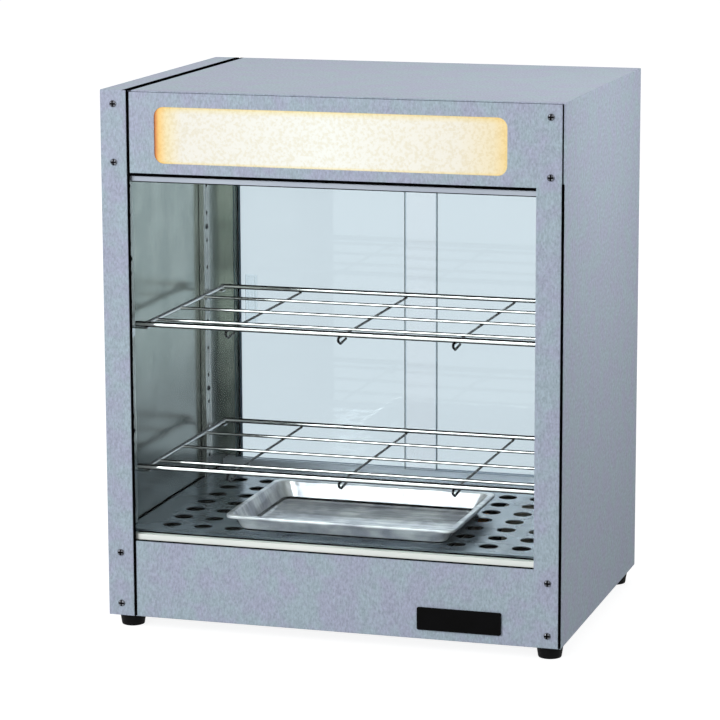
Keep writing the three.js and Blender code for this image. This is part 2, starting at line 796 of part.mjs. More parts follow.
// Rear sliding doors: the left one in the outer groove, the right one in the inner groove
const trackTop = [top - trackTopDrop - trackTopHeight, top - trackTopDrop];
const trackBottom = [bottom + trackBottomRise, bottom + trackBottomRise + trackBottomHeight];
const innerGroove = trackFront + trackOuterWall;
const outerGroove = innerGroove + trackGroove + trackMiddleWall;
const track = (heights, grooveHeights) => {
  const groove = (y) => block([-caseWidth, caseWidth], [y, y + trackGroove], grooveHeights);
  return cut(block(chamberWidth, [trackFront, trackRear], heights), [innerGroove, outerGroove].map(groove));
};
const doorHeights = [trackBottom[1] - trackBottomGroove + seatGap, trackTop[0] + doorTopLap];
const doorEdge = openingSide + doorSideLap;
const door = (side) => {
  const y = (side < 0 ? outerGroove : innerGroove) + doorPlay;
  return block(span(side * doorEdge, -side * doorOverlap / 2), [y, y + doorThickness], doorHeights);
};
const doorPull = (side) => {
  const y = (side < 0 ? outerGroove : innerGroove) + doorPlay + doorThickness + seatGap;
  const x = side * (doorEdge - pullInset - pullWidth / 2);
  const z = (trackBottom[1] + trackTop[0]) / 2;
  const slab = (border, depth) =>
    block(around(x, pullWidth - 2 * border), depth, around(z, pullHeight - 2 * border));
  const outer = y + pullThickness;
  return slab(0, [y, outer]).subtract(slab(pullDishBorder, [outer - pullDish, outer + cutOver]));
};

// Blank plate at the lower right of the front
const namePlate = () => {
  const middle = [right - plateSideInset - plateWidth / 2, bottom + plateRise + plateHeight / 2];
  const shape = roundedShape(plateWidth, plateHeight, plateCorner, middle);
  return uprightPlate(shape, [front - seatGap - plateThickness, front - seatGap]);
};

// Heater rod under the floor, on two brackets over a shield
const shieldTop = bottom + shieldHeight;
const heaterLine = bottom + heaterHeight;
const heaterFront = front + heaterFrontInset;
const heaterRear = rear - heaterRearInset;
const heaterRod = () => {
  const point = (x, y) => new THREE.Vector3(x, y, heaterLine);
  const outer = heaterHalfWidth;
  const inner = heaterHalfWidth - heaterBend;
  const bend = heaterFront + heaterBend;
  const bendCurve = (from, corner, to) => new THREE.QuadraticBezierCurve3(from, corner, to);
  const path = new THREE.CurvePath();
  path.add(new THREE.LineCurve3(point(-outer, heaterRear), point(-outer, bend)));
  path.add(bendCurve(point(-outer, bend), point(-outer, heaterFront), point(-inner, heaterFront)));
  path.add(new THREE.LineCurve3(point(-inner, heaterFront), point(inner, heaterFront)));
  path.add(bendCurve(point(inner, heaterFront), point(outer, heaterFront), point(outer, bend)));
  path.add(new THREE.LineCurve3(point(outer, bend), point(outer, heaterRear)));
  return tube(path, heaterRodRadius, heaterSteps);
};

const heatShield = () => {
  const depth = [front + shieldFrontInset, rear - shieldRearInset];
  const half = right - shieldSideInset;
  const legs = [bottom + caseSheet + seatGap, shieldTop];
  return join([
    block([-half, half], depth, [shieldTop - shieldSheet, shieldTop]),
    block([-half, shieldSheet - half], depth, legs),
    block([half - shieldSheet, half], depth, legs),
  ]);
};

// Two upright plates on one sole, each holding both runs of the rod
const heaterBracket = () => {
  const sole = shieldTop + seatGap;
  const crown = heaterLine + heaterRodRadius + bracketWrap;
  const along = around(0, 2 * (heaterHalfWidth + bracketOverhang));
  const depth = [heaterFront + bracketRodInset, heaterRear - bracketRodInset];
  const runs = [-heaterHalfWidth, heaterHalfWidth];
  const uprights = depth.map((y) => block(along, around(y, bracketSheet), [sole, crown]));
  const straps = runs.map((x) => block(around(x, bracketStrap), depth, [sole, sole + bracketSheet]));
  const boreRadius = heaterRodRadius + holeClearance;
  const [y0, y1] = [depth[0] - cutOver, depth[1] + cutOver];
  const bores = runs.map((x) => rod([x, y0, heaterLine], [x, y1, heaterLine], boreRadius, smallSides));
  return cut(join([...uprights, ...straps]), bores);
};

// Thermostat: a body behind the panel, a shaft through its bush, a knob and a bulb on a fine tube
const backwards = [0, 1, 0];
const thermostatRear = insideRear - seatGap;
const thermostatBody = () => {
  const depth = [thermostatRear - thermostatDepth, thermostatRear];
  const body = block(around(knobX, thermostatWidth), depth, around(controlLine, thermostatWidth));
  const along = (y0, y1, radius) =>
    rod([knobX, y0, controlLine], [knobX, y1, controlLine], radius, roundSides);
  const bush = along(thermostatRear - cutOver, rear, bushRadius);
  const bore = along(thermostatRear - thermostatDepth / 2, rear + cutOver, shaftRadius + holeClearance);
  return body.add(bush).subtract(bore);
};

const knobSeat = rear + knobStandoff;
const thermostatShaft = () => {
  const y0 = thermostatRear - thermostatDepth / 2 + seatGap;
  const y1 = knobSeat + knobBoreDepth - seatGap;
  return rod([knobX, y0, controlLine], [knobX, y1, controlLine], shaftRadius, roundSides);
};

const thermostatKnob = () => {
  const bore = shaftRadius + holeClearance;
  const profile = [
    [0, knobBoreDepth],
    [bore, knobBoreDepth],
    [bore, 0],
    [knobRadius, 0],
    [knobRadius, knobSkirtEdge],
    [knobGripFoot, knobSkirtHeight],
    [knobGripRadius, knobHeight - knobBevel],
    [knobGripRadius - knobBevel, knobHeight],
    [0, knobHeight],
  ];
  const crown = knobSeat + knobHeight;
  const pointer = block(around(knobX, pointerWidth), [crown - pointerRise, crown + pointerRise],
    [controlLine + pointerStart, controlLine + pointerEnd]);
  return turned(profile, [knobX, knobSeat, controlLine], backwards).add(pointer);
};

const sensorBulb = () => {
  const height = floorTop - floorSheet - seatGap - bulbRadius;
  const line = trackFront - thermostatDepth;
  const end = bulbLength / 2;
  const mouth = [knobX, insideRear - thermostatDepth / 2, controlLine + thermostatWidth / 2 + seatGap];
  const path = new THREE.CatmullRomCurve3([
    vector([end - bulbRadius, line, height]),
    vector([(end + mouth[0]) / 2, line, height - bulbRadius]),
    vector([mouth[0] - bulbRadius, mouth[1] - bulbRadius, (height + mouth[2]) / 2]),
    vector(mouth),
  ]);
  const bulb = rod([-end, line, height], [end, line, height], bulbRadius);
  return bulb.add(tube(path, capillaryRadius, capillarySteps, capillarySides));
};

// A rocker switch: a bezelled housing and a rocker that tips on two pins
const rockerLine = rear + seatGap;
const switchFace = rockerLine + switchBezel;
const rockerHalf = switchHeight / 2 - switchWall - rockerPlay;
const rockerSide = switchWidth / 2 - switchWall - holeClearance;
const switchHousing = (x) => {
  const well = switchFace - rockerThickness - 2 * rockerPlay;
  const slab = (border, depth) =>
    block(around(x, switchWidth + 2 * border), depth, around(controlLine, switchHeight + 2 * border));
  const bezel = slab(switchBezel, [rockerLine, switchFace]);
  const shell = bezel.add(slab(0, [insideRear - switchDepth, switchFace]));
  const pinFrom = [x - switchWidth, rockerLine, controlLine];
  const pinTo = [x + switchWidth, rockerLine, controlLine];
  return cut(shell, [
    slab(-switchWall, [well, switchFace + cutOver]),
    rod(pinFrom, pinTo, rockerPinRadius + holeClearance),
  ]);
};

const switchRocker = (x) => {
  const slab = new THREE.BoxGeometry(2 * rockerSide, rockerThickness, 2 * rockerHalf);
  slab.rotateX(THREE.MathUtils.degToRad(rockerTilt));
  slab.translate(x, rockerLine, controlLine);
  const reach = rockerSide + switchWall / 2;
  const pinFrom = [x - reach, rockerLine, controlLine];
  const pinTo = [x + reach, rockerLine, controlLine];
  return solid(slab).add(rod(pinFrom, pinTo, rockerPinRadius));
};

const pilotLamp = () => {
  const profile = [
    [0, -pilotDepth],
    [pilotRadius, -pilotDepth],
    [pilotRadius, 0],
    [pilotBezelRadius, 0],
    [pilotBezelRadius, pilotBezelRise],
    [pilotLensRadius, pilotBezelRise],
    [pilotCrownRadius, pilotRise],
    [0, pilotRise],
  ];
  return turned(profile, [pilotX, rear + seatGap, controlLine], backwards, roundSides / 2);
};

const cordGland = () => {
  const profile = [
    [glandBore, -glandDepth],
    [glandRadius, -glandDepth],
    [glandRadius, 0],
    [glandFlange, 0],
    [glandFlange, glandFlangeEdge],
    [glandCrownRadius, glandRise],
    [glandBore, glandRise],
    [glandBore, -glandDepth],
  ];
  return turned(profile, [glandX, rear + seatGap, controlLine], backwards);
};

const terminalBlock = () => {
  const foot = bottom + caseSheet + seatGap;
  const crown = foot + terminalHeight;
  const y = insideRear - terminalGap;
  const body = block(around(terminalX, terminalLength), around(y, terminalWidth), [foot, crown]);
  const wayPitch = terminalLength / terminalWays;
  const slots = Array.from({ length: terminalWays - 1 }, (_, i) => {
    const x = terminalX + (i + 1 - terminalWays / 2) * wayPitch;
    const heights = [foot + terminalHeight / 2, crown + cutOver];
    return block(around(x, terminalSlot), around(y, terminalWidth + cutOver), heights);
  });
  return cut(body, slots);
};

// Feet, each bored for the screw that holds it
const foot = ([x, y]) => {
  const crown = footHeight - seatGap;
  const profile = [
    [footSinkRadius, 0],
    [footBottomRadius, 0],
    [footTopRadius, crown],
    [footBoreRadius, crown],
    [footBoreRadius, footSinkDepth],
    [footSinkRadius, footSinkDepth],
    [footSinkRadius, 0],
  ];
  return turned(profile, [x, y, 0], [0, 0, 1]);
};

addPart('front_glass', frontGlass(), clearGlass);
addPart('front_glass_top_channel', topChannel(), aluminium);
addPart('front_glass_bottom_channel', bottomChannel(), aluminium);
addPart('front_glass_seal', glassSeal(), blackRubber);
addPart('sign_panel', signPanel(), litAcrylic);
addPart('sign_retainer', signFrame(), whiteEnamel);
addPart('sign_lamp', signLamp(), lampGlass);
addPart('left_lamp_socket', lampSocket(-1), paleCeramic);
addPart('right_lamp_socket', lampSocket(1), paleCeramic);
addPart('lamp_reflector', lampReflector(), whiteEnamel);
addPart('left_front_pilaster', pilaster(-1, pilasterLines[0]), mirrorSteel);
addPart('left_rear_pilaster', pilaster(-1, pilasterLines[1]), mirrorSteel);
addPart('right_front_pilaster', pilaster(1, pilasterLines[0]), mirrorSteel);
addPart('right_rear_pilaster', pilaster(1, pilasterLines[1]), mirrorSteel);
for (const [shelf, hole] of [['lower_shelf', lowerShelfSteps], ['upper_shelf', upperShelfSteps]]) {
  for (const [side, hand] of [[-1, 'left'], [1, 'right']]) {
    addPart(`${shelf}_${hand}_front_clip`, shelfClip(hole, side, pilasterLines[0]), chromeWire);
    addPart(`${shelf}_${hand}_rear_clip`, shelfClip(hole, side, pilasterLines[1]), chromeWire);
  }
  addPart(shelf, wireShelf(hole), chromeWire);
}
addPart('floor_plate', floorPlate(), mirrorSteel);
addPart('tray', tray(), traySteel);
const topGroove = [trackTop[0] - cutOver, trackTop[0] + trackTopGroove];
const bottomGroove = [trackBottom[1] - trackBottomGroove, trackBottom[1] + cutOver];
addPart('door_top_track', track(trackTop, topGroove), aluminium);
addPart('door_bottom_track', track(trackBottom, bottomGroove), aluminium);
addPart('rear_door_left', door(-1), clearGlass);
addPart('rear_door_right', door(1), clearGlass);
addPart('left_door_pull', doorPull(-1), clearAcrylic);
addPart('right_door_pull', doorPull(1), clearAcrylic);
addPart('name_plate', namePlate(), blackGloss);
addPart('heater_rod', heaterRod(), darkSheath);
addPart('heater_bracket', heaterBracket(), aluminium);
addPart('heat_shield', heatShield(), aluminium);
addPart('thermostat_body', thermostatBody(), paleCeramic);
addPart('thermostat_shaft', thermostatShaft(), brass);
addPart('thermostat_knob', thermostatKnob(), blackPlastic);
addPart('thermostat_bulb', sensorBulb(), brass);
addPart('power_switch_housing', switchHousing(powerSwitchX), blackPlastic);
addPart('power_switch_rocker', switchRocker(powerSwitchX), blackGloss);
addPart('lamp_switch_housing', switchHousing(lampSwitchX), blackPlastic);
addPart('lamp_switch_rocker', switchRocker(lampSwitchX), blackGloss);
addPart('pilot_lamp', pilotLamp(), amberLens);
addPart('cord_gland', cordGland(), blackRubber);
addPart('terminal_block', terminalBlock(), paleCeramic);
const footNames = ['front_left_foot', 'rear_left_foot', 'front_right_foot', 'rear_right_foot'];
footPlaces.forEach((place, i) => addPart(footNames[i], foot(place), blackRubber));

// The origin is under the middle of everything, knob and name plate included
const reach = new THREE.Box3().setFromObject(stand);
stand.position.y = -(reach.min.y + reach.max.y) / 2;

export default stand;
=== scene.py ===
"""Looks of a countertop heated display case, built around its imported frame.

Metres, +Z up, X to the right as seen from the front, front towards -Y, the table at Z = 0.
"""
import logging
import math
from dataclasses import dataclass
from enum import Enum
from typing import Iterable, Sequence

import bmesh
import bpy
from bmesh.types import BMEdge, BMesh, BMVert
from bpy.types import Node, NodeSocket, NodeTree
from mathutils import Matrix, Quaternion, Vector


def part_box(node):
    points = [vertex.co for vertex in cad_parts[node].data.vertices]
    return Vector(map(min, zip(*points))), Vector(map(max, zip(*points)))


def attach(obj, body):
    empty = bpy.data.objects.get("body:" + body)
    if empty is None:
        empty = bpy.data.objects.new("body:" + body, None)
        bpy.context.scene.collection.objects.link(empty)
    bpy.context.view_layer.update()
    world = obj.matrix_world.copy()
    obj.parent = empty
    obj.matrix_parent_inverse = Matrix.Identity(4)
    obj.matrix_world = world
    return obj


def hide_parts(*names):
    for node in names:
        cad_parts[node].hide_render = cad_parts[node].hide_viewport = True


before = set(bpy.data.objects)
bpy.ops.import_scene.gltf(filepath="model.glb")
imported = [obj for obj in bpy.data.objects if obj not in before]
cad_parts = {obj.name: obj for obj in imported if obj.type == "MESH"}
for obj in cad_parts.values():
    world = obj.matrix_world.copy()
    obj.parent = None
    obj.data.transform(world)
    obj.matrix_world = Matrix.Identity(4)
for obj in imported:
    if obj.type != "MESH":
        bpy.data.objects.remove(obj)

LOG = logging.getLogger("display_case")
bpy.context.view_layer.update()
MM = 0.001
X_AXIS = Vector((1, 0, 0))
Y_AXIS = Vector((0, 1, 0))
Z_AXIS = Vector((0, 0, 1))

Point = Vector | Sequence[float]
Stops = Sequence[tuple[float, str]]


class Body(Enum):
    """The moving bodies that a piece can ride on."""

    CASE = "case"
    LEFT_DOOR = "left_door"
    RIGHT_DOOR = "right_door"
    DIAL = "dial"
    POWER_ROCKER = "power_rocker"
    LAMP_ROCKER = "lamp_rocker"
    LOWER_RACK = "lower_rack"
    UPPER_RACK = "upper_rack"
    TRAY = "loose_tray"


class Slot(Enum):
    """The record's finish slots."""

    CASE_STEEL = "case_steel"
    MIRROR_STEEL = "mirror_steel"
    CLEAR_GLASS = "clear_glass"
    DOOR_GLASS = "door_glass"
    ALUMINIUM = "channel_aluminium"
    RUBBER = "black_rubber"
    SIGN = "sign_acrylic"
    CHROME = "chrome_wire"
    TRAY_STEEL = "tray_steel"
    PULL = "pull_acrylic"
    PLASTIC = "black_plastic"
    GLOSS = "black_gloss"
    AMBER = "amber_lens"


def linear(hex_colour: str) -> tuple[float, float, float, float]:
    """Turns an sRGB hex colour into linear light.

    Args:
        hex_colour: a colour such as "#A9B1C4".

    Returns:
        Red, green, blue and an opacity of one.
    """
    channels = [int(hex_colour[i:i + 2], 16) / 255 for i in (1, 3, 5)]
    light = [c / 12.92 if c <= 0.04045 else ((c + 0.055) / 1.055) ** 2.4 for c in channels]
    return (*light, 1.0)


def add_node(tree: NodeTree, kind: str, feeds: dict | None = None, stops: Stops = (),
             **settings: object) -> Node:
    """Adds a node with its settings, its values or links, and a ramp's stops.

    Args:
        tree: the node tree that gets the node.
        kind: the node's type name.
        feeds: a value or a socket for each input, by name or identifier.
        stops: places and hex colours of a colour ramp.
        settings: the node's own properties.

    Returns:
        The new node.
    """
    node = tree.nodes.new(kind)
    for name, value in settings.items():
        setattr(node, name, value)
    for name, value in (feeds or {}).items():
        socket = next(s for s in node.inputs if name in (s.identifier, s.name))
        if isinstance(value, NodeSocket):
            tree.links.new(value, socket)
        else:
            socket.default_value = value
    for index, (place, colour) in enumerate(stops):
        elements = node.color_ramp.elements
        element = elements[index] if index < 2 else elements.new(place)
        element.position = place
        element.color = linear(colour)
    return node


def outlet(node: Node, name: str) -> NodeSocket:
    """Returns a node's output by its name or identifier."""
    return next(s for s in node.outputs if name in (s.identifier, s.name))


def shaded(tree: NodeTree, colour: NodeSocket | Sequence[float], reading: NodeSocket,
           span: tuple[float, float], stops: Stops, share: NodeSocket | float = 1.0) -> NodeSocket:
    """Multiplies a colour by a band of shades that follows a reading.

    Args:
        tree: the material's node tree.
        colour: the colour that is shaded.
        reading: what the band follows, such as a height.
        span: the reading at the band's two ends.
        stops: places along the band and their shades.
        share: how much of the band is applied.

    Returns:
        The shaded colour.
    """
    along = add_node(tree, "ShaderNodeMapRange", {"Value": reading, "From Min": span[0], "From Max": span[1]})
    band = add_node(tree, "ShaderNodeValToRGB", {"Fac": along.outputs["Result"]}, stops)
    mixed = add_node(tree, "ShaderNodeMix", {
        "Factor_Float": share, "A_Color": colour, "B_Color": band.outputs["Color"],
    }, data_type="RGBA", blend_type="MULTIPLY")
    return outlet(mixed, "Result_Color")


@dataclass(frozen=True)
class Finish:
    """A real material and how its surface was made."""

    name: str
    colour: str
    roughness: float
    metallic: float = 0.0

    def material(self) -> bpy.types.Material:
        """Returns the finish as a material, made once."""
        made = bpy.data.materials.get(self.name)
        if made:
            return made
        made = bpy.data.materials.new(self.name)
        made.use_nodes = True
        tree = made.node_tree
        tree.nodes.clear()
        shader = add_node(tree, "ShaderNodeBsdfPrincipled", {
            "Base Color": linear(self.colour),
            "Roughness": self.roughness,
            "Metallic": self.metallic,
        })
        add_node(tree, "ShaderNodeOutputMaterial", {"Surface": shader.outputs["BSDF"]})
        self.dress(tree, shader, add_node(tree, "ShaderNodeTexCoord"))
        return made

    def dress(self, tree: NodeTree, shader: Node, coords: Node) -> None:
        """Adds the surface detail, of which the plain finish has none."""


@dataclass(frozen=True)
class GrainedFinish(Finish):
    """A finish with fine marks, slow clouds of tone and a little relief.

    Args:
        second: the colour that the clouds drift to.
        grain: the size of one mark along X, Y and Z, in millimetres.
        cloud: the size of one cloud, in millimetres.
        swing: how far the roughness moves either way.
        relief: the height of the marks, in millimetres.
        specular: how strongly a surface that isn't metal mirrors, with one half as usual.
        coat: the share of a clear coat.
        speck: how far a mark lightens or darkens the tone, as a share of it.
    """

    second: str = "#808080"
    grain: tuple[float, float, float] = (1.0, 1.0, 1.0)
    cloud: float = 80.0
    swing: float = 0.05
    relief: float = 0.0
    specular: float = 0.5
    coat: float = 0.0
    speck: float = 0.03

    def dress(self, tree: NodeTree, shader: Node, coords: Node) -> None:
        """Adds the marks, the clouds and the relief.

        Args:
            tree: the material's node tree.
            shader: its surface shader.
            coords: its texture coordinates.
        """
        shader.inputs["Specular IOR Level"].default_value = self.specular
        shader.inputs["Coat Weight"].default_value = self.coat
        shader.inputs["Coat Roughness"].default_value = 0.08
        place = coords.outputs["Object"]
        stretch = add_node(tree, "ShaderNodeMapping", {
            "Vector": place, "Scale": tuple(1 / (size * MM) for size in self.grain),
        })
        marks = add_node(tree, "ShaderNodeTexNoise", {
            "Vector": stretch.outputs["Vector"], "Scale": 1.0, "Detail": 3.0, "Roughness": 0.6,
        }).outputs["Fac"]
        clouds = add_node(tree, "ShaderNodeTexNoise", {
            "Vector": place, "Scale": 1 / (self.cloud * MM), "Detail": 2.0, "Roughness": 0.5,
        }).outputs["Fac"]
        share = add_node(tree, "ShaderNodeMapRange", {"Value": clouds, "From Min": 0.38, "From Max": 0.62})
        tone = add_node(tree, "ShaderNodeMix", {
            "Factor_Float": share.outputs["Result"],
            "A_Color": linear(self.colour),
            "B_Color": linear(self.second),
        }, data_type="RGBA")
        level = add_node(tree, "ShaderNodeMapRange", {
            "Value": marks, "From Min": 0.3, "From Max": 0.7,
            "To Min": 1 - self.speck, "To Max": 1 + self.speck,
        })
        specked = add_node(tree, "ShaderNodeMix", {
            "Factor_Float": 1.0,
            "A_Color": outlet(tone, "Result_Color"),
            "B_Color": level.outputs["Result"],
        }, data_type="RGBA", blend_type="MULTIPLY")
        colour = self.tint(tree, coords, outlet(specked, "Result_Color"))
        tree.links.new(colour, shader.inputs["Base Color"])
        rough = add_node(tree, "ShaderNodeMapRange", {
            "Value": marks, "From Min": 0.3, "From Max": 0.7,
            "To Min": max(0.0, self.roughness - self.swing), "To Max": self.roughness + self.swing,
        })
        tree.links.new(rough.outputs["Result"], shader.inputs["Roughness"])
        if self.relief:
            bump = add_node(tree, "ShaderNodeBump", {
                "Height": marks, "Distance": self.relief * MM, "Strength": 1.0,
            })
            tree.links.new(bump.outputs["Normal"], shader.inputs["Normal"])

    def tint(self, tree: NodeTree, coords: Node, colour: NodeSocket) -> NodeSocket:
        """Returns the colour as it is; the finishes with painted shade change it."""
        return colour


@dataclass(frozen=True)
class PlatedFinish(GrainedFinish):
    """Plating with painted shade on the underside and a painted dark reflection on the crown.

    Args:
        dull: what the tone is multiplied by there, as painted shade.
    """

    dull: str = "#26282B"

    def tint(self, tree: NodeTree, coords: Node, colour: NodeSocket) -> NodeSocket:
        """Darkens the colour where the surface looks up or down, as painted shade and painted reflection.

        Args:
            tree: the material's node tree.
            coords: its texture coordinates.
            colour: the plating's colour.

        Returns:
            The colour, with painted shade banded round the wire.
        """
        looks = add_node(tree, "ShaderNodeSeparateXYZ", {"Vector": coords.outputs["Normal"]})
        return shaded(tree, colour, looks.outputs["Z"], (-1.0, 1.0), [
            (0.0, self.dull), (0.28, self.dull), (0.36, "#FFFFFF"), (0.69, "#FFFFFF"), (0.77, self.dull),
        ])


@dataclass(frozen=True)
class LinerFinish(GrainedFinish):
    """Bright sheet with painted shade: darker lower down on the faces that look sideways, standing in for the
    reflection of the dark floor; the flanges beside the doors are left out.

    Args:
        foot: height of the painted shade's lower end, in metres.
        head: height of its upper end, in metres.
    """

    foot: float = 0.1
    head: float = 0.47

    def tint(self, tree: NodeTree, coords: Node, colour: NodeSocket) -> NodeSocket:
        """Darkens the colour towards the floor on the faces that look sideways, as painted shade.

        Args:
            tree: the material's node tree.
            coords: its texture coordinates.
            colour: the sheet's colour.

        Returns:
            The colour with its painted shade.
        """
        looks = add_node(tree, "ShaderNodeSeparateXYZ", {"Vector": coords.outputs["Normal"]})
        sideways = add_node(tree, "ShaderNodeMath", {"Value": looks.outputs["X"]}, operation="ABSOLUTE")
        split = add_node(tree, "ShaderNodeSeparateXYZ", {"Vector": coords.outputs["Object"]})
        return shaded(tree, colour, split.outputs["Z"], (self.foot, self.head), [
            (0.0, "#C4C4C8"), (0.3, "#B8B8BA"), (0.5, "#EAEAEA"), (0.8, "#F8F8F8"), (1.0, "#FFFFFF"),
        ], sideways.outputs["Value"])


@dataclass(frozen=True)
class DrawnFinish(GrainedFinish):
    """Pressed sheet with painted shade: dark in the tight bend between its bottom and its walls.

    Args:
        bend_low: height where the bend starts, in metres.
        bend_high: height where it ends, in metres.
    """

    bend_low: float = 0.0
    bend_high: float = 0.01

    def tint(self, tree: NodeTree, coords: Node, colour: NodeSocket) -> NodeSocket:
        """Darkens the colour within the bend, as painted shade.

        Args:
            tree: the material's node tree.
            coords: its texture coordinates.
            colour: the sheet's colour.

        Returns:
            The colour, with painted shade in the bend.
        """
        split = add_node(tree, "ShaderNodeSeparateXYZ", {"Vector": coords.outputs["Object"]})
        return shaded(tree, colour, split.outputs["Z"], (self.bend_low, self.bend_high), [
            (0.0, "#FFFFFF"), (0.2, "#1C1C1E"), (0.7, "#2A2A2C"), (1.0, "#FFFFFF"),
        ])


@dataclass(frozen=True)
class PaneFinish(Finish):
    """Float glass: clear, tinted through its body, with faint wiping marks.

    Args:
        streak: the size of one wiping mark, in millimetres.
        passing: the tint where two panes stand one behind the other.
        lap: half the width of that place, in millimetres; zero for a single pane.
        ior: how strongly it bends light; a low one stands for a coating that cuts reflections.
    """

    streak: float = 40.0
    passing: str = "#FFFFFF"
    lap: float = 0.0
    ior: float = 1.45

    def dress(self, tree: NodeTree, shader: Node, coords: Node) -> None:
        """Makes the body clear and lets the wiping marks dull it a little.

        Args:
            tree: the material's node tree.
            shader: its surface shader.
            coords: its texture coordinates.
        """
        shader.inputs["Transmission Weight"].default_value = 1.0
        shader.inputs["IOR"].default_value = self.ior
        place = coords.outputs["Object"]
        marks = add_node(tree, "ShaderNodeTexNoise", {
            "Vector": place, "Scale": 1 / (self.streak * MM), "Detail": 3.0,
        })
        rough = add_node(tree, "ShaderNodeMapRange", {
            "Value": marks.outputs["Fac"], "From Min": 0.45, "From Max": 0.75,
            "To Min": self.roughness, "To Max": self.roughness + 0.02,
        })
        tree.links.new(rough.outputs["Result"], shader.inputs["Roughness"])
        if not self.lap:
            return
        split = add_node(tree, "ShaderNodeSeparateXYZ", {"Vector": place})
        away = add_node(tree, "ShaderNodeMath", {"Value": split.outputs["X"]}, operation="ABSOLUTE")
        alone = add_node(tree, "ShaderNodeMath", {
            "Value": away.outputs["Value"], "Value_001": self.lap * MM,
        }, operation="GREATER_THAN")
        tint = add_node(tree, "ShaderNodeMix", {
            "Factor_Float": alone.outputs["Value"],
            "A_Color": linear(self.passing),
            "B_Color": linear(self.colour),
        }, data_type="RGBA")
        tree.links.new(outlet(tint, "Result_Color"), shader.inputs["Base Color"])


@dataclass(frozen=True)
class LitSignFinish(Finish):
    """Opal acrylic lit from behind: cream where the lamp is near, orange at its cut edge.

    Args:
        half_width: half the window's width, in metres.
        half_height: half the window's height, in metres.
        middle: height of the window's middle, in metres.
        fleck: the size of one fleck in the opal body, in millimetres.
    """

    half_width: float = 0.1825
    half_height: float = 0.0285
    middle: float = 0.5155
    fleck: float = 3.0

    def dress(self, tree: NodeTree, shader: Node, coords: Node) -> None:
        """Lets the light fall off towards the window's edges.

        Args:
            tree: the material's node tree.
            shader: its surface shader.
            coords: its texture coordinates.
        """
        place = coords.outputs["Object"]
        split = add_node(tree, "ShaderNodeSeparateXYZ", {"Vector": place})
        light = shaded(tree, linear("#FFFFFF"), split.outputs["X"], (-self.half_width, self.half_width), [
            (0.0, "#A0561A"), (0.004, "#D9862F"), (0.013, "#F8CB72"), (0.035, "#F1E2B4"),
            (0.08, "#ECEAE0"), (0.5, "#F3F5EE"), (0.86, "#ECE8DA"), (0.96, "#EDE0BC"), (1.0, "#F2D58E"),
        ])
        heights = (self.middle - self.half_height, self.middle + self.half_height)
        light = shaded(tree, light, split.outputs["Z"], heights, [
            (0.0, "#FFEFC0"), (0.05, "#FFFFFF"), (0.88, "#FFFFFF"), (0.96, "#FFF6D8"), (1.0, "#FFE9A4"),
        ])
        mottle = add_node(tree, "ShaderNodeTexNoise", {
            "Vector": place, "Scale": 1 / (self.fleck * MM), "Detail": 2.0,
        })
        light = shaded(tree, light, mottle.outputs["Fac"], (0.0, 1.0), [(0.36, "#F7F3E8"), (0.55, "#FFFFFF")])
        tree.links.new(light, shader.inputs["Emission Color"])
        shader.inputs["Emission Strength"].default_value = 1.0


# Stainless sheet with a fine brushing under a clear coat: a cool lavender grey, silky rather than bright.
# The brushing is too fine to show at its real 0.1 mm, so its marks are drawn 1.6 to 5 mm long
CASE_STEEL = GrainedFinish("clear coated brushed stainless", "#A5ABBF", 0.6, 0.12, second="#A2B2BD",
                           grain=(1.6, 5.0, 3.2), cloud=22, swing=0.06, relief=0.012, specular=0.2, speck=0.2)
# The same sheet rolled bright: it mirrors the chamber softly. Its rolling marks are drawn 2 to 3 mm long
# Its sideways faces are darker towards the floor: painted shade for the reflection of the dark floor
MIRROR_STEEL = LinerFinish("bright rolled stainless liner", "#B7BFB8", 0.22, 0.85, second="#A8B2AB",
                           grain=(1.8, 1.8, 3), cloud=40, swing=0.05, relief=0.0008, speck=0.14)
# Punched channel drawn through a die: warmer than the wall, with faint lines along its length
PILASTER_STEEL = GrainedFinish("drawn stainless channel", "#A8ADAA", 0.25, 0.75, second="#929490",
                               grain=(1.5, 1.5, 60), cloud=60, swing=0.05, relief=0.003)
# Floor sheet, blue grey and smooth, with slow clouds where it was wiped
FLOOR_STEEL = GrainedFinish("bright rolled floor sheet", "#8F9CA8", 0.24, 0.45, second="#77838F",
                            grain=(3, 3, 3), cloud=50, swing=0.03, relief=0.0002, speck=0.06)
# Pressed tray: nearly white, with the long soft streaks of the sheet that the press drew, and painted shade
# in the bend at its bottom
TRAY_STEEL = DrawnFinish("pressed bright stainless tray", "#E2E4E8", 0.14, 0.35, second="#A8AAB4",
                         grain=(120, 6, 60), cloud=30, swing=0.04, speck=0.25,
                         bend_low=0.1042, bend_high=0.1072)
# Nickel and chromium over steel wire: nearly white where it faces out, with painted shade on the underside
# and a painted dark reflection on the crown, and soft ripples of the plating
CHROME_WIRE = PlatedFinish("bright chrome plated wire", "#F4F4F4", 0.12, 0.7, second="#ECEDEE",
                           grain=(6, 6, 6), cloud=60, swing=0.03, relief=0.006, speck=0.03)
# The wires under the deck, chrome plated, painted nearly black as the shade under the deck
UNDER_DECK_SHADE_WIRE = PlatedFinish("chrome plated wire painted near black as shade", "#2A2C30", 0.25, 0.8, second="#191B1E",
                         grain=(3, 3, 3), cloud=30, swing=0.05, relief=0.006, speck=0.2)
# Bent strip, plated like the shelves: bright, and greyer than their wires
CLIP_STEEL = GrainedFinish("bent chrome plated strip", "#C9CBCD", 0.15, 1.0, second="#B2B4B8",
                           grain=(3, 3, 3), cloud=12, swing=0.05, relief=0.006)
# Extruded aluminium, etched and clear anodised: pale and warm, and silky along its length
CHANNEL_ALUMINIUM = GrainedFinish("satin anodised aluminium", "#EFF3EE", 0.4, 0.2, second="#E4EAE6",
                                  grain=(60, 1.2, 1.2), cloud=120, swing=0.05, relief=0.003)
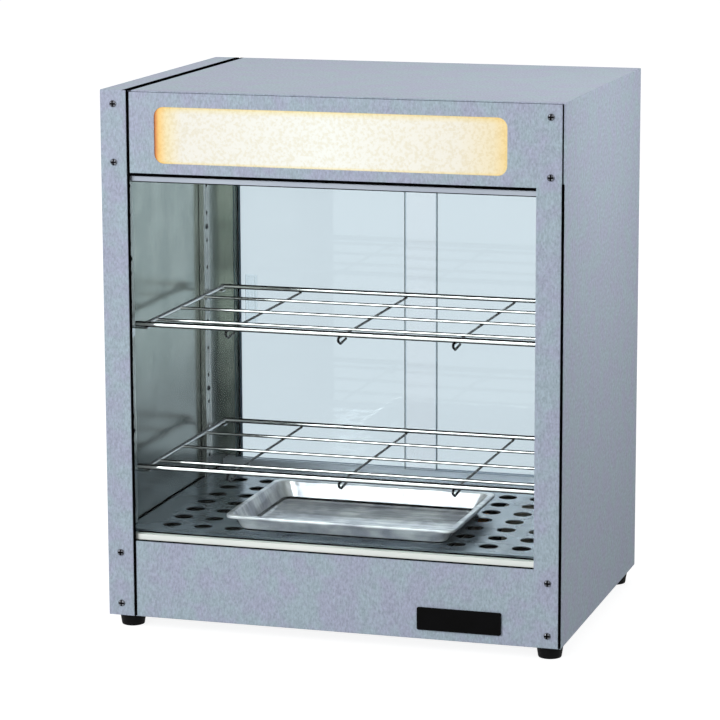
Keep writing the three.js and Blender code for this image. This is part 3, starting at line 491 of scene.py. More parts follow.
# The header's channel is dyed greyer than the sill
GREY_ALUMINIUM = GrainedFinish("grey anodised aluminium", "#AAB3BF", 0.45, 0.2, second="#A0A9B6",
                               grain=(60, 1.2, 1.2), cloud=120, swing=0.05, relief=0.003)
# The door tracks are left as extruded: cool and bright, with lines from the die
TRACK_ALUMINIUM = GrainedFinish("bright extruded aluminium", "#DDE3EC", 0.35, 0.4, second="#CFD6E2",
                                grain=(60, 1.2, 1.2), cloud=120, swing=0.05, relief=0.003)
# Near black sheet, matte, with long streaks: painted shade for the dark space under the chamber floor and
# inside the casing
DARK_SHADE_SHEET = GrainedFinish("sheet painted near black as shade", "#0C0C0E", 0.7, 0.2, second="#111214",
                             grain=(20, 2, 2), cloud=40, swing=0.06, relief=0.004, speck=0.1)
# Zinc plated steel screws, grey with dark worn edges
SCREW_STEEL = GrainedFinish("zinc plated steel", "#7D8087", 0.35, 0.8, second="#54565C",
                            grain=(0.8, 0.8, 0.8), cloud=3, swing=0.08, relief=0.01, speck=0.15)
# Painted shade: flat black laid in recesses, joints and gaps where shade falls, with no gloss at all
SHADE_BLACK = GrainedFinish("painted shade black", "#030303", 0.8, 0.0, second="#060607",
                      grain=(0.5, 0.5, 0.5), cloud=5, swing=0.05, specular=0.0)
# Front glass with a coating that cuts reflections, so that the chamber shows without a haze
CLEAR_GLASS = PaneFinish("clear coated float glass", "#F7FCFB", 0.0, ior=1.12)
# Door glass, tinted pale blue through its body; each pane is paler in the strip where the two pass
DOOR_GLASS = PaneFinish("pale blue float glass", "#CCD7E0", 0.0, passing="#E5EAEF", lap=17.5, ior=1.35)
# Cast acrylic, flame polished: as clear as water, with hardly any gloss
CLEAR_ACRYLIC = PaneFinish("polished clear acrylic", "#F4F8FA", 0.0, ior=1.15)
# Arrissed glass edge: ground, so it scatters and looks darker and greener than the face
GROUND_EDGE = GrainedFinish("ground glass edge", "#7F959B", 0.45, 0.0, second="#5F767C",
                            grain=(1, 1, 1), cloud=20, swing=0.05, relief=0.02)
# Moulded natural rubber: near black, dull, with a fine orange peel
RUBBER = GrainedFinish("moulded black rubber", "#050506", 0.65, 0.0, second="#0B0B0C",
                       grain=(1.2, 1.2, 1.2), cloud=12, swing=0.08, relief=0.03, specular=0.1)
# ABS from a spark eroded mould: black with a fine even texture
ABS = GrainedFinish("moulded black ABS", "#141416", 0.45, 0.0, second="#1D1D20",
                    grain=(0.7, 0.7, 0.7), cloud=20, swing=0.05, relief=0.02, specular=0.35)
# ABS from a polished mould: deeper black and smooth, with a low sheen
GLOSS_ABS = GrainedFinish("polished black ABS", "#010101", 0.4, 0.0, second="#030304",
                          grain=(9, 9, 9), cloud=30, swing=0.04, relief=0.004, specular=0.05)
# Steatite, pressed and fired without a glaze: chalky cream
STEATITE = GrainedFinish("pressed unglazed steatite", "#E4DCCB", 0.7, 0.0, second="#D6CDB9",
                         grain=(1, 1, 1), cloud=15, swing=0.06, relief=0.03)
# Enamel sprayed and baked: warm white, faintly rippled
ENAMEL = GrainedFinish("baked white enamel", "#E9E8E2", 0.4, 0.0, second="#E0DFD8",
                       grain=(3, 3, 3), cloud=60, swing=0.05, relief=0.008)
# Heater sheath: nickel steel browned and blued by heat, in patches
SHEATH = GrainedFinish("heat browned sheath steel", "#3A3634", 0.5, 1.0, second="#2A2D36",
                       grain=(4, 4, 4), cloud=30, swing=0.1, relief=0.01)
# Brass turned on a lathe: soft yellow, with fine rings of the tool along Y
BRASS = GrainedFinish("turned brass", "#B89B56", 0.3, 1.0, second="#A5874A",
                      grain=(1, 0.4, 1), cloud=10, swing=0.06, relief=0.004)
# Moulded lens, tinted through: amber under a clear gloss
AMBER = GrainedFinish("moulded amber lens", "#C85A12", 0.12, 0.0, second="#E07A20",
                      grain=(3, 3, 3), cloud=6, swing=0.03, coat=0.4)
# Opal glass tube, drawn and frosted: warm white and even
LAMP_GLASS = GrainedFinish("opal lamp glass", "#FFF6E4", 0.25, 0.0, second="#FBEFD8",
                           grain=(10, 10, 10), cloud=60, swing=0.03)
# Printed inks, laid through a screen: flat and even, with a faint weave
PRINT = GrainedFinish("screen printed pale ink", "#E6E6E2", 0.5, 0.0, second="#DADAD6",
                      grain=(0.6, 0.6, 0.6), cloud=10, swing=0.04)
DARK_PRINT = GrainedFinish("screen printed dark ink", "#1E2024", 0.5, 0.0, second="#2A2C30",
                           grain=(0.6, 0.6, 0.6), cloud=10, swing=0.04)
# Cast opal sheet with its lamp on: the surface is dark by itself, and the light comes through it
SIGN_ACRYLIC = LitSignFinish("opal acrylic lit from behind", "#1A1814", 0.35)


def shade_smooth(mesh: bpy.types.Mesh, angle: float) -> None:
    """Shades a mesh smooth, but keeps edges over an angle in radians sharp."""
    mesh.polygons.foreach_set("use_smooth", [True] * len(mesh.polygons))
    mesh.set_sharp_from_angle(angle=angle)


def finish_piece(bm: BMesh, name: str, look: Finish | Sequence[Finish],
                 body: Body = Body.CASE, nodes: Iterable[str] = (), angle: float = math.radians(38),
                 outward: bool = True) -> bpy.types.Object:
    """Turns a bmesh into a piece that rides on a body.

    Args:
        bm: the shape, in the frame's place; it is freed.
        name: the piece's name.
        look: its finish, or one finish for each material index.
        body: the body that it moves with.
        nodes: the frame's nodes that it stands for.
        angle: the edge angle, in radians, past which the shading is sharp.
        outward: whether the faces are turned outwards first.

    Returns:
        The finished piece.
    """
    if outward:
        bmesh.ops.recalc_face_normals(bm, faces=bm.faces)
    mesh = bpy.data.meshes.new(name)
    bm.to_mesh(mesh)
    bm.free()
    for one in (look if isinstance(look, (list, tuple)) else [look]):
        mesh.materials.append(one.material())
    shade_smooth(mesh, angle)
    piece = bpy.data.objects.new(name, mesh)
    bpy.context.scene.collection.objects.link(piece)
    weighted = piece.modifiers.new("weighted_normals", "WEIGHTED_NORMAL")
    weighted.keep_sharp = True
    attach(piece, body.value)
    if nodes:
        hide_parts(*nodes)
    LOG.info("%s: %d faces on %s", name, len(mesh.polygons), body.value)
    return piece


def dress_node(node: str, look: Finish) -> None:
    """Gives a carried-over node its finish."""
    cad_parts[node].material_slots[0].material = look.material()
    LOG.info("%s: dressed as %s", node, look.name)


def centre(node: str) -> Vector:
    """Returns the middle of a node's box."""
    low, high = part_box(node)
    return (low + high) / 2


def fresh_verts(bm: BMesh, before: set[BMVert]) -> list[BMVert]:
    """Returns the vertices that a bmesh got since a set of them was taken."""
    return [vert for vert in bm.verts if vert not in before]


def edges_among(items: Iterable) -> list[BMEdge]:
    """Returns the edges that join two of the vertices among some mesh elements."""
    verts = {item for item in items if isinstance(item, BMVert)}
    return [edge for edge in {e for v in verts for e in v.link_edges} if set(edge.verts) <= verts]


def round_edges(bm: BMesh, edges: Iterable[BMEdge], radius: float, segments: int, clamp: bool) -> None:
    """Rounds edges.

    Args:
        bm: the bmesh that they belong to.
        edges: the edges.
        radius: how far the rounding reaches from each edge.
        segments: facets across it.
        clamp: whether it stops where two roundings would meet.
    """
    bmesh.ops.bevel(bm, geom=list(edges), offset=radius, segments=segments, profile=0.5,
                    affect="EDGES", material=-1, clamp_overlap=clamp)


def block(bm: BMesh, low: Point, high: Point, radius: float = 0.0, segments: int = 2) -> None:
    """Adds a box between two corners, its edges eased by a radius.

    Args:
        bm: the bmesh that gets the box.
        low: its lowest corner.
        high: its highest corner.
        radius: the radius of its edges, or zero.
        segments: facets across an eased edge.
    """
    low, high = Vector(low), Vector(high)
    place = Matrix.Translation((low + high) / 2) @ Matrix.Diagonal((*(high - low), 1))
    made = bmesh.ops.create_cube(bm, size=1.0, matrix=place)
    if radius:
        round_edges(bm, {edge for vert in made["verts"] for edge in vert.link_edges}, radius, segments, True)


def facing(direction: Point) -> Matrix:
    """Returns the turn that takes +Z to a direction."""
    return Z_AXIS.rotation_difference(Vector(direction)).to_matrix().to_4x4()


def turned(bm: BMesh, profile: Sequence[tuple[float, float]], place: Point, direction: Point,
           steps: int) -> list[BMVert]:
    """Turns a profile about a line, as on a lathe.

    Args:
        bm: the bmesh that gets the shape.
        profile: radius and height pairs, from the line out and back.
        place: where height zero lies on the line.
        direction: the way in which heights grow.
        steps: facets round the line.

    Returns:
        The new vertices.
    """
    before = set(bm.verts)
    chain = [bm.verts.new((radius, 0, height)) for radius, height in profile]
    edges = [bm.edges.new(pair) for pair in zip(chain, chain[1:])]
    bmesh.ops.spin(bm, geom=chain + edges, cent=(0, 0, 0), axis=Z_AXIS, angle=math.tau, steps=steps,
                   use_merge=True, use_duplicate=False)
    bmesh.ops.remove_doubles(bm, verts=fresh_verts(bm, before), dist=1e-6)
    fresh = fresh_verts(bm, before)
    bmesh.ops.transform(bm, matrix=Matrix.Translation(Vector(place)) @ facing(direction), verts=fresh)
    return fresh


def eased_copy(node: str, radius: float, segments: int = 2, fold: float = 0.0,
               shortest: float = 0.0) -> BMesh:
    """Copies a node's solid with its edges eased, as sheared and folded sheet has them.

    Args:
        node: the frame's node.
        radius: the radius of every other edge.
        segments: facets across an eased edge.
        fold: the radius of the outer folds, the edges that lie on two sides of the node's box.
        shortest: edges under this length are left sharp.

    Returns:
        The eased shape.
    """
    bm = bmesh.new()
    bm.from_mesh(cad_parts[node].data)
    bmesh.ops.remove_doubles(bm, verts=bm.verts, dist=1e-6)
    bmesh.ops.dissolve_limit(bm, angle_limit=math.radians(1), verts=bm.verts, edges=bm.edges)
    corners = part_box(node)
    shortest_fold = 40 * MM

    def sharp(edge: BMEdge) -> bool:
        """Tells whether an edge is to be eased."""
        bent = edge.is_manifold and edge.calc_face_angle(0) > math.radians(30)
        return bent and edge.calc_length() > shortest

    def sides(edge: BMEdge) -> int:
        """Counts the sides of the node's box that an edge lies on."""
        return sum(all(abs(vert.co[axis] - corner[axis]) < 1e-5 for vert in edge.verts)
                   for axis in range(3) for corner in corners)

    if fold:
        folds = [edge for edge in bm.edges if sharp(edge) and sides(edge) >= 2
                 and edge.calc_length() > shortest_fold]
        round_edges(bm, folds, fold, segments + 1, False)
    round_edges(bm, [edge for edge in bm.edges if sharp(edge)], radius, segments, False)
    return bm


def eased_piece(node: str, name: str, look: Finish, radius: float, segments: int = 2,
                body: Body = Body.CASE) -> None:
    """Makes a piece from a node's solid with its edges eased.

    Args:
        node: the frame's node.
        name: the piece's name.
        look: its finish.
        radius: the radius of its edges.
        segments: facets across an eased edge.
        body: the body that it rides on.
    """
    finish_piece(eased_copy(node, radius, segments), name, look, body, [node], outward=False)


def letter(bm: BMesh, text: str, place: Point, size: float, ink: float) -> None:
    """Prints a word on the rear sheet, to be read from behind.

    Args:
        bm: the bmesh that gets the print.
        text: a number, or ON or OFF.
        place: the word's middle, on the sheet's face.
        size: the letters' size.
        ink: how thick the print stands.
    """
    curve = bpy.data.curves.new("print", "FONT")
    curve.body = text
    curve.size = size
    curve.extrude = ink / 2
    curve.align_x = "CENTER"
    curve.align_y = "CENTER"
    holder = bpy.data.objects.new("print", curve)
    mesh = bpy.data.meshes.new_from_object(holder)
    before = set(bm.verts)
    bm.from_mesh(mesh)
    turn = Matrix(((-1, 0, 0, 0), (0, 0, 1, 0), (0, 1, 0, 0), (0, 0, 0, 1)))
    bmesh.ops.transform(bm, matrix=Matrix.Translation(Vector(place)) @ turn, verts=fresh_verts(bm, before))
    bpy.data.objects.remove(holder)
    bpy.data.curves.remove(curve)
    bpy.data.meshes.remove(mesh)


class WireBender:
    """Bends a round wire as a hand bender does: straight runs and bends from a cut end."""

    def __init__(self, bm: BMesh, start: Point, heading: Point, radius: float, sides: int = 14) -> None:
        """Starts a wire.

        Args:
            bm: the bmesh that gets the wire.
            start: the middle of its cut end.
            heading: the way in which it leaves that end.
            radius: half the wire's thickness.
            sides: facets round it.
        """
        self.bm = bm
        self.place = Vector(start)
        self.heading = Vector(heading).normalized()
        matrix = Matrix.Translation(self.place) @ facing(self.heading)
        ring = bmesh.ops.create_circle(bm, cap_ends=False, radius=radius, segments=sides, matrix=matrix)
        self.rim = edges_among(ring["verts"])
        self.cut_end = list(self.rim)

    def run(self, length: float) -> None:
        """Draws the wire straight on.

        Args:
            length: how far it goes.
        """
        made = bmesh.ops.extrude_edge_only(self.bm, edges=self.rim)["geom"]
        verts = [item for item in made if isinstance(item, BMVert)]
        bmesh.ops.translate(self.bm, verts=verts, vec=self.heading * length)
        self.rim = edges_among(verts)
        self.place += self.heading * length

    def bend(self, axis: Point, angle: float, radius: float, steps: int) -> None:
        """Bends the wire.

        Args:
            axis: the line that it bends about.
            angle: how far it bends, in radians.
            radius: the bend's radius along the wire's middle.
            steps: facets along the bend.
        """
        axis = Vector(axis)
        pivot = self.place + axis.cross(self.heading) * radius
        verts = list({vert for edge in self.rim for vert in edge.verts})
        made = bmesh.ops.spin(self.bm, geom=verts + self.rim, cent=pivot, axis=axis, angle=angle,
                              steps=steps, use_merge=False, use_duplicate=False)
        self.rim = edges_among(made["geom_last"])
        turn = Quaternion(axis, angle)
        self.place = pivot + turn @ (self.place - pivot)
        self.heading = turn @ self.heading

    def close(self) -> None:
        """Caps both cut ends."""
        bmesh.ops.holes_fill(self.bm, edges=self.cut_end + self.rim, sides=0)


@dataclass
class PanScrews:
    """Cross recessed pan head screws, set in rows."""

    head_radius: float = 3.5 * MM
    head_height: float = 2.0 * MM
    recess_width: float = 1.6 * MM
    recess_depth: float = 1.1 * MM

    def head(self, bm: BMesh, place: Point, direction: Point) -> None:
        """Adds one head.

        Args:
            bm: the bmesh that gets it.
            place: the middle of its seat.
            direction: the way in which it looks.
        """
        radius, height = self.head_radius, self.head_height
        before = set(bm.verts)
        # From the crown's middle out and down to the seat
        profile = [(0, height), (radius * 0.3, height), (radius * 0.6, height * 0.95),
                   (radius * 0.85, height * 0.75), (radius, height * 0.4), (radius, 0)]
        turned(bm, profile, (0, 0, 0), Z_AXIS, 24)
        half = self.recess_width / 2
        for axis in (X_AXIS, Y_AXIS):
            for side in (-half, half):
                bmesh.ops.bisect_plane(bm, geom=self._since(bm, before), dist=1e-7,
                                       plane_co=axis * side, plane_no=axis)
        floor = [face for face in bm.faces
                 if not set(face.verts) & before and face.calc_center_median().z > height * 0.7
                 and self._in_cross(face.calc_center_median(), half, radius * 0.8)]
        sunk = bmesh.ops.extrude_face_region(bm, geom=floor)["geom"]
        bmesh.ops.delete(bm, geom=floor, context="FACES_ONLY")
        down = [item for item in sunk if isinstance(item, BMVert)]
        bmesh.ops.translate(bm, verts=down, vec=(0, 0, -self.recess_depth))
        # The recess takes the flat black: painted shade inside the cross
        for face in {face for vert in down for face in vert.link_faces}:
            face.material_index = 1
        turn = Matrix.Translation(Vector(place)) @ facing(direction)
        bmesh.ops.transform(bm, matrix=turn, verts=fresh_verts(bm, before))

    @staticmethod
    def _since(bm: BMesh, before: set[BMVert]) -> list:
        """Gathers what a bmesh got since a set of its vertices was taken.

        Args:
            bm: the bmesh.
            before: the vertices that it had.

        Returns:
            The new vertices, edges and faces.
        """
        verts = fresh_verts(bm, before)
        edges = {edge for vert in verts for edge in vert.link_edges}
        faces = {face for vert in verts for face in vert.link_faces}
        return verts + list(edges) + list(faces)

    @staticmethod
    def _in_cross(place: Vector, half: float, reach: float) -> bool:
        """Tells whether a place lies in the recess, by half a slot's width and its reach."""
        inside = abs(place.x) < half or abs(place.y) < half
        return inside and place.xy.length < reach

    def row(self, name: str, places: Iterable[Point], direction: Point) -> None:
        """Makes one piece of all the screws of a row.

        Args:
            name: the piece's name.
            places: where the heads sit.
            direction: the way in which they look.
        """
        bm = bmesh.new()
        for place in places:
            self.head(bm, place, direction)
        finish_piece(bm, name, [SCREW_STEEL, SHADE_BLACK], angle=math.radians(30))


@dataclass
class Casing:
    """Outer sheet metal, its screws and the blank name plate."""

    fold_radius: float = 0.85 * MM
    edge_radius: float = 0.25 * MM
    lining_area: float = 30e-4
    middle: tuple[float, float, float] = (0.0, -0.008, 0.28)
    bay_top: float = 100 * MM
    joint_band: float = 4.2 * MM
    strip_clearance: float = 0.15 * MM
    strip_sink: float = 0.5 * MM
    strip_depth: float = 3 * MM
    strip_drop: float = 4 * MM
    strip_radius: float = 0.2 * MM
    bead: float = 0.45 * MM
    bead_lap: float = 1.6 * MM
    bead_radius: float = 0.15 * MM
    corner_lap: float = 0.2 * MM
    frame_gap: float = 0.05 * MM
    screw_inset: float = 14 * MM
    tab_inset: float = 38 * MM
    foot_rise: float = 13 * MM
    fascia_rise: float = 67 * MM
    header_drop: float = 73 * MM
    top_drop: float = 14 * MM

    def build(self) -> None:
        """Makes the casing's pieces."""
        sheets = {
            "left_side_panel": "left_side_pan_folded",
            "outer_cover": "top_and_right_cover_folded",
            "front_frame": "front_frame_pressed",
            "rear_header": "rear_header_sheet",
            "rear_control_panel": "rear_control_sheet",
            "base_plate": "base_tray_folded",
        }
        for node, name in sheets.items():
            bm = eased_copy(node, self.edge_radius, 2, self.fold_radius)
            self._line(bm)
            finish_piece(bm, name, [CASE_STEEL, DARK_SHADE_SHEET, SHADE_BLACK], nodes=[node],
                         outward=False)
        self._joint()
        self._screws()
        eased_piece("name_plate", "blank_name_plate", GLOSS_ABS, 0.5 * MM, 3)

    def _line(self, bm: BMesh) -> None:
        """Paints the large inner faces near black and the top folds on both sides of the top joint flat
        black, as painted shade.

        Args:
            bm: a sheet's shape.
        """
        left, right = self._joint_sides()
        left, right = left - self.joint_band, right + self.joint_band
        for side in (left, right):
            bmesh.ops.bisect_plane(bm, geom=bm.verts[:] + bm.edges[:] + bm.faces[:], dist=1e-7,
                                   plane_co=(side, 0, 0), plane_no=X_AXIS)
        bm.normal_update()
        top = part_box("outer_cover")[1].z - 2 * self.fold_radius
        for face in bm.faces:
            place = face.calc_center_median()
            inner = face.normal.dot(place - Vector(self.middle)) < 0
            hidden = abs(face.normal.y) < 0.5 or place.z < self.bay_top
            # The large inner faces and the top folds beside the joint take painted shade
            if inner and hidden and face.calc_area() > self.lining_area:
                face.material_index = 1
            elif left < place.x < right and place.z > top and face.normal.z > 0.1:
                face.material_index = 2

    @staticmethod
    def _joint_sides() -> tuple[float, float]:
        """Returns the two sides of the joint between the side pan and the cover."""
        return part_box("left_side_panel")[1].x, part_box("outer_cover")[0].x

    def _joint(self) -> None:
        """Fills the joints beside the frame and across the top with flat black strips, beaded on the front,
        as painted shade in the gaps.
        """
        low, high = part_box("left_side_panel")
        frame_low, frame_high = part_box("front_frame")
        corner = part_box("outer_cover")[1].x - self.corner_lap
        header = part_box("front_glass_top_channel")[1].z
        left, right = self._joint_sides()
        left, right = left + self.strip_clearance, right - self.strip_clearance
        sink, step = self.strip_sink, low.y + self.strip_depth
        front = frame_low.y - self.frame_gap
        foot, head = low.z + 2 * sink, high.z - 2 * sink
        bm = bmesh.new()
        block(bm, (left, low.y + sink, low.z + sink), (right, step, high.z - sink), self.strip_radius)
        block(bm, (left, step, high.z - self.strip_drop), (right, high.y - sink, high.z - sink),
              self.strip_radius)
        block(bm, (left, front - self.bead, foot), (right + self.bead_lap, front, head), self.bead_radius)
        block(bm, (frame_high.x - self.corner_lap, front - self.bead, foot), (corner, front, header),
              self.bead_radius)
        finish_piece(bm, "frame_joint_shade_strips", SHADE_BLACK)

    def _screws(self) -> None:
        """Sets the casing screws on the front and the rear."""
        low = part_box("left_side_panel")[0]
        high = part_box("outer_cover")[1]
        heights = [low.z + self.foot_rise, low.z + self.fascia_rise,
                   high.z - self.header_drop, high.z - self.top_drop]
        sides = [low.x + self.screw_inset, high.x - self.screw_inset]
        tabs = [low.x + self.tab_inset, high.x - self.tab_inset]
        screws = PanScrews()
        screws.row("front_casing_screws", [(x, low.y, z) for x in sides for z in heights], -Y_AXIS)
        screws.row("rear_casing_screws", [(x, high.y, z) for x in sides + tabs for z in heights], Y_AXIS)


@dataclass
class Chamber:
    """Bright inner walls, punched pilasters, shelf clips and the vented floor."""

    vent_radius: float = 10 * MM
    vent_side_inset: float = 42.7 * MM
    vent_front_inset: float = 27.7 * MM
    vent_column_pitch: float = 34 * MM
    vent_row_pitch: float = 35.5 * MM
    vent_columns: int = 3
    sheet: float = 1.0 * MM
    screw_low: float = 99.2 * MM
    screw_high: float = 89.2 * MM
    post_radius: float = 0.35 * MM
    clip_radius: float = 0.3 * MM
    punch: float = 2.8 * MM
    punch_depth: float = 1.5 * MM
    punch_area: float = 1e-5
    wall_face: float = 229.6 * MM
    jamb: float = 214 * MM
    bead: float = 1.3 * MM
    bead_gap: float = 0.1 * MM
    bead_stop: float = 3 * MM
    jamb_stop: float = 1 * MM
    jamb_sheet: float = 0.8 * MM
    shade: float = 0.4 * MM
    shade_inset: float = 1.4 * MM
    shade_stop: float = 8 * MM

    def build(self) -> None:
        """Makes the chamber's pieces."""
        for node in ("left_inner_wall", "right_inner_wall", "chamber_ceiling"):
            dress_node(node, MIRROR_STEEL)
        for hand, inward in (("left", X_AXIS), ("right", -X_AXIS)):
            self._pilasters(hand, inward)
        for shelf in ("lower_shelf", "upper_shelf"):
            for hand in ("left", "right"):
                for end in ("front", "rear"):
                    node = f"{shelf}_{hand}_{end}_clip"
                    eased_piece(node, f"{node}_bent", CLIP_STEEL, self.clip_radius)
        self._floor()
        self._beads()

    def _pilasters(self, hand: str, inward: Point) -> None:
        """Makes one side's two pilasters, with painted shade inside their punched holes, and their screws.

        Args:
            hand: left or right.
            inward: the way into the chamber.
        """
        places = []
        for end in ("front", "rear"):
            node = f"{hand}_{end}_pilaster"
            bm = eased_copy(node, self.post_radius, 2, shortest=10 * MM)
            low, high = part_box(node)
            face = high.x if hand == "left" else low.x
            middle = (low.y + high.y) / 2
            # The punched holes' walls take the flat black: painted shade inside the holes
            for punched in bm.faces:
                place = punched.calc_center_median()
                if (abs(place.x - face) < self.punch_depth and abs(place.y - middle) < self.punch
                        and punched.calc_area() < self.punch_area):
                    punched.material_index = 1
            finish_piece(bm, f"{node}_punched", [PILASTER_STEEL, SHADE_BLACK], nodes=[node],
                         outward=False)
            places += [(face, middle, low.z + self.screw_low), (face, middle, high.z - self.screw_high)]
        PanScrews(head_radius=2.8 * MM, head_height=1.4 * MM).row(f"{hand}_pilaster_screws", places, inward)

    def _beads(self) -> None:
        """Lays flat black beads along the walls' feet and rear jambs, and black strips behind the punched
        holes: painted shade in the corners and the holes.
        """
        low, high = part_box("floor_plate")
        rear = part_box("left_inner_wall")[1].y - self.jamb_sheet
        top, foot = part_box("door_top_track")[0].z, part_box("door_bottom_track")[1].z
        shades = bmesh.new()
        beads = bmesh.new()
        for hand, side in (("left", -1), ("right", 1)):
            across = sorted((side * self.wall_face, side * (self.wall_face - self.bead)))
            block(beads, (across[0], low.y + self.bead_stop, high.z + self.bead_gap),
                  (across[1], high.y - self.bead_stop, high.z + self.bead), self.bead * 0.4)
            across = sorted((side * (self.jamb + self.bead_gap), side * (self.jamb + self.bead)))
            block(beads, (across[0], rear - self.bead, foot + self.jamb_stop),
                  (across[1], rear - self.bead_gap, top - self.jamb_stop), self.bead * 0.3)
            across = sorted((side * self.wall_face, side * (self.wall_face - self.shade)))
            for end in ("front", "rear"):
                near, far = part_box(f"{hand}_{end}_pilaster")
                block(shades, (across[0], near.y + self.shade_inset, near.z + self.shade_stop),
                      (across[1], far.y - self.shade_inset, far.z - self.shade_stop))
        finish_piece(beads, "wall_shade_beads", SHADE_BLACK)
        finish_piece(shades, "pilaster_hole_shade_strips", SHADE_BLACK)

    def _floor(self) -> None:
        """Makes the chamber floor with its round vents and turned-down lips."""
        low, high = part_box("floor_plate")
        bm = bmesh.new()
        place = Matrix.Translation(((low.x + high.x) / 2, (low.y + high.y) / 2, high.z))
        size = Matrix.Diagonal((high.x - low.x, high.y - low.y, 1, 1))
        sheet = bmesh.ops.create_grid(bm, x_segments=1, y_segments=1, size=0.5, matrix=place @ size)
        face = sheet["verts"][0].link_faces[0]
        bmesh.ops.delete(bm, geom=[face], context="FACES_ONLY")
        rows = 1 + int((high.y - low.y - 2 * self.vent_front_inset) / self.vent_row_pitch)
        for side, edge in ((1, low.x), (-1, high.x)):
            for column in range(self.vent_columns):
                x = edge + side * (self.vent_side_inset + column * self.vent_column_pitch)
                for row in range(rows):
                    y = low.y + self.vent_front_inset + row * self.vent_row_pitch
                    bmesh.ops.create_circle(bm, cap_ends=False, radius=self.vent_radius, segments=32,
                                            matrix=Matrix.Translation((x, y, high.z)))
        bmesh.ops.triangle_fill(bm, use_beauty=True, use_dissolve=False, edges=bm.edges, normal=Z_AXIS)
        made = bmesh.ops.extrude_face_region(bm, geom=bm.faces[:])["geom"]
        down = [item for item in made if isinstance(item, BMVert)]
        bmesh.ops.translate(bm, verts=down, vec=(0, 0, -self.sheet))
        for y0, y1 in ((low.y, low.y + self.sheet), (high.y - self.sheet, high.y)):
            block(bm, (low.x, y0, low.z), (high.x, y1, high.z - self.sheet / 2), 0.2 * MM)
        finish_piece(bm, "vented_chamber_floor", FLOOR_STEEL, nodes=["floor_plate"])


@dataclass
class GlassPane:
    """A pane cut from float glass, its edges ground and arrissed."""

    arris: float = 0.5 * MM

    def build(self, node: str, name: str, look: Finish, slot: Slot, body: Body) -> None:
        """Makes one pane in the place of a node.

        Args:
            node: the frame's node.
            name: the piece's name.
            look: the finish of its two faces.
            slot: the record's slot; not used.
            body: the body that it rides on.
        """
        bm = bmesh.new()
        low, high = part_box(node)
        block(bm, low, high, self.arris, 1)
        bm.normal_update()
        for face in bm.faces:
            face.material_index = 0 if abs(face.normal.y) > 0.99 else 1
        finish_piece(bm, name, [look, GROUND_EDGE], body, [node], angle=math.radians(20))


@dataclass
class FrontGlazing:
    """The fixed front glass in its two channels, with its seal and its wedges."""

    channel_radius: float = 0.25 * MM
    seal_lip: float = 0.9 * MM
    seal_inset: float = 0.1 * MM
    seal_radius: float = 0.5 * MM
    fascia_top: float = 95 * MM
    gap: float = 0.15 * MM
    frame_inset: float = 0.3 * MM
    end_inset: float = 0.5 * MM
    top_wedge: float = 0.9 * MM
    sill_wedge_depth: float = 2.2 * MM
    sill_wedge_height: float = 1.5 * MM
    fascia_bead_depth: float = 2.4 * MM
    fascia_bead_height: float = 1.2 * MM
    top_wedge_radius: float = 0.3 * MM
    wedge_radius: float = 0.4 * MM

    def build(self) -> None:
        """Makes the front glass and what holds it."""
        GlassPane().build("front_glass", "front_pane", CLEAR_GLASS, Slot.CLEAR_GLASS, Body.CASE)
        eased_piece("front_glass_top_channel", "upper_glass_channel", GREY_ALUMINIUM,
                    self.channel_radius)
        eased_piece("front_glass_bottom_channel", "lower_glass_channel_and_sill", CHANNEL_ALUMINIUM,
                    self.channel_radius)
        # The seal gets a flat black lip below it: the seal is real, and the lip is painted shade under the
        # header
        low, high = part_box("front_glass_seal")
        bm = bmesh.new()
        block(bm, (low.x + self.seal_inset, low.y, low.z - self.seal_lip), high, self.seal_radius, 3)
        finish_piece(bm, "header_seal_with_shade_lip", SHADE_BLACK, nodes=["front_glass_seal"])
        self._wedges()

    def _wedges(self) -> None:
        """Presses thin glazing wedges in beside the glass and a bead on the fascia's top edge, finished flat
        black as painted shade along the glass.
        """
        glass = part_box("front_glass")
        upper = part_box("front_glass_top_channel")
        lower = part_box("front_glass_bottom_channel")
        left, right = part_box("front_frame")[0].x + self.frame_inset, glass[1].x - self.end_inset
        seal_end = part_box("front_glass_seal")[1].x
        gap = self.gap
        bm = bmesh.new()
        block(bm, (left, upper[0].y + self.frame_inset, upper[0].z - self.top_wedge),
              (right, glass[0].y - gap, upper[0].z - gap), self.top_wedge_radius)
        block(bm, (left, glass[1].y + gap, lower[1].z + gap),
              (right, glass[1].y + self.sill_wedge_depth, lower[1].z + self.sill_wedge_height),
              self.wedge_radius)
        block(bm, (left, lower[0].y - self.fascia_bead_depth, self.fascia_top + gap),
              (seal_end, lower[0].y - gap, self.fascia_top + self.fascia_bead_height), self.wedge_radius)
        finish_piece(bm, "glazing_shade_wedges", SHADE_BLACK)


@dataclass
class SignBox:
    """The lit sign in the header and what lights it."""

    edge_radius: float = 0.3 * MM

    def build(self) -> None:
        """Dresses the sign and its lamp."""
        eased_piece("sign_panel", "lit_sign_sheet", SIGN_ACRYLIC, self.edge_radius, 1)
        for node in ("sign_retainer", "lamp_reflector"):
            dress_node(node, ENAMEL)
        for node in ("left_lamp_socket", "right_lamp_socket"):
            dress_node(node, STEATITE)
        dress_node("sign_lamp", LAMP_GLASS)


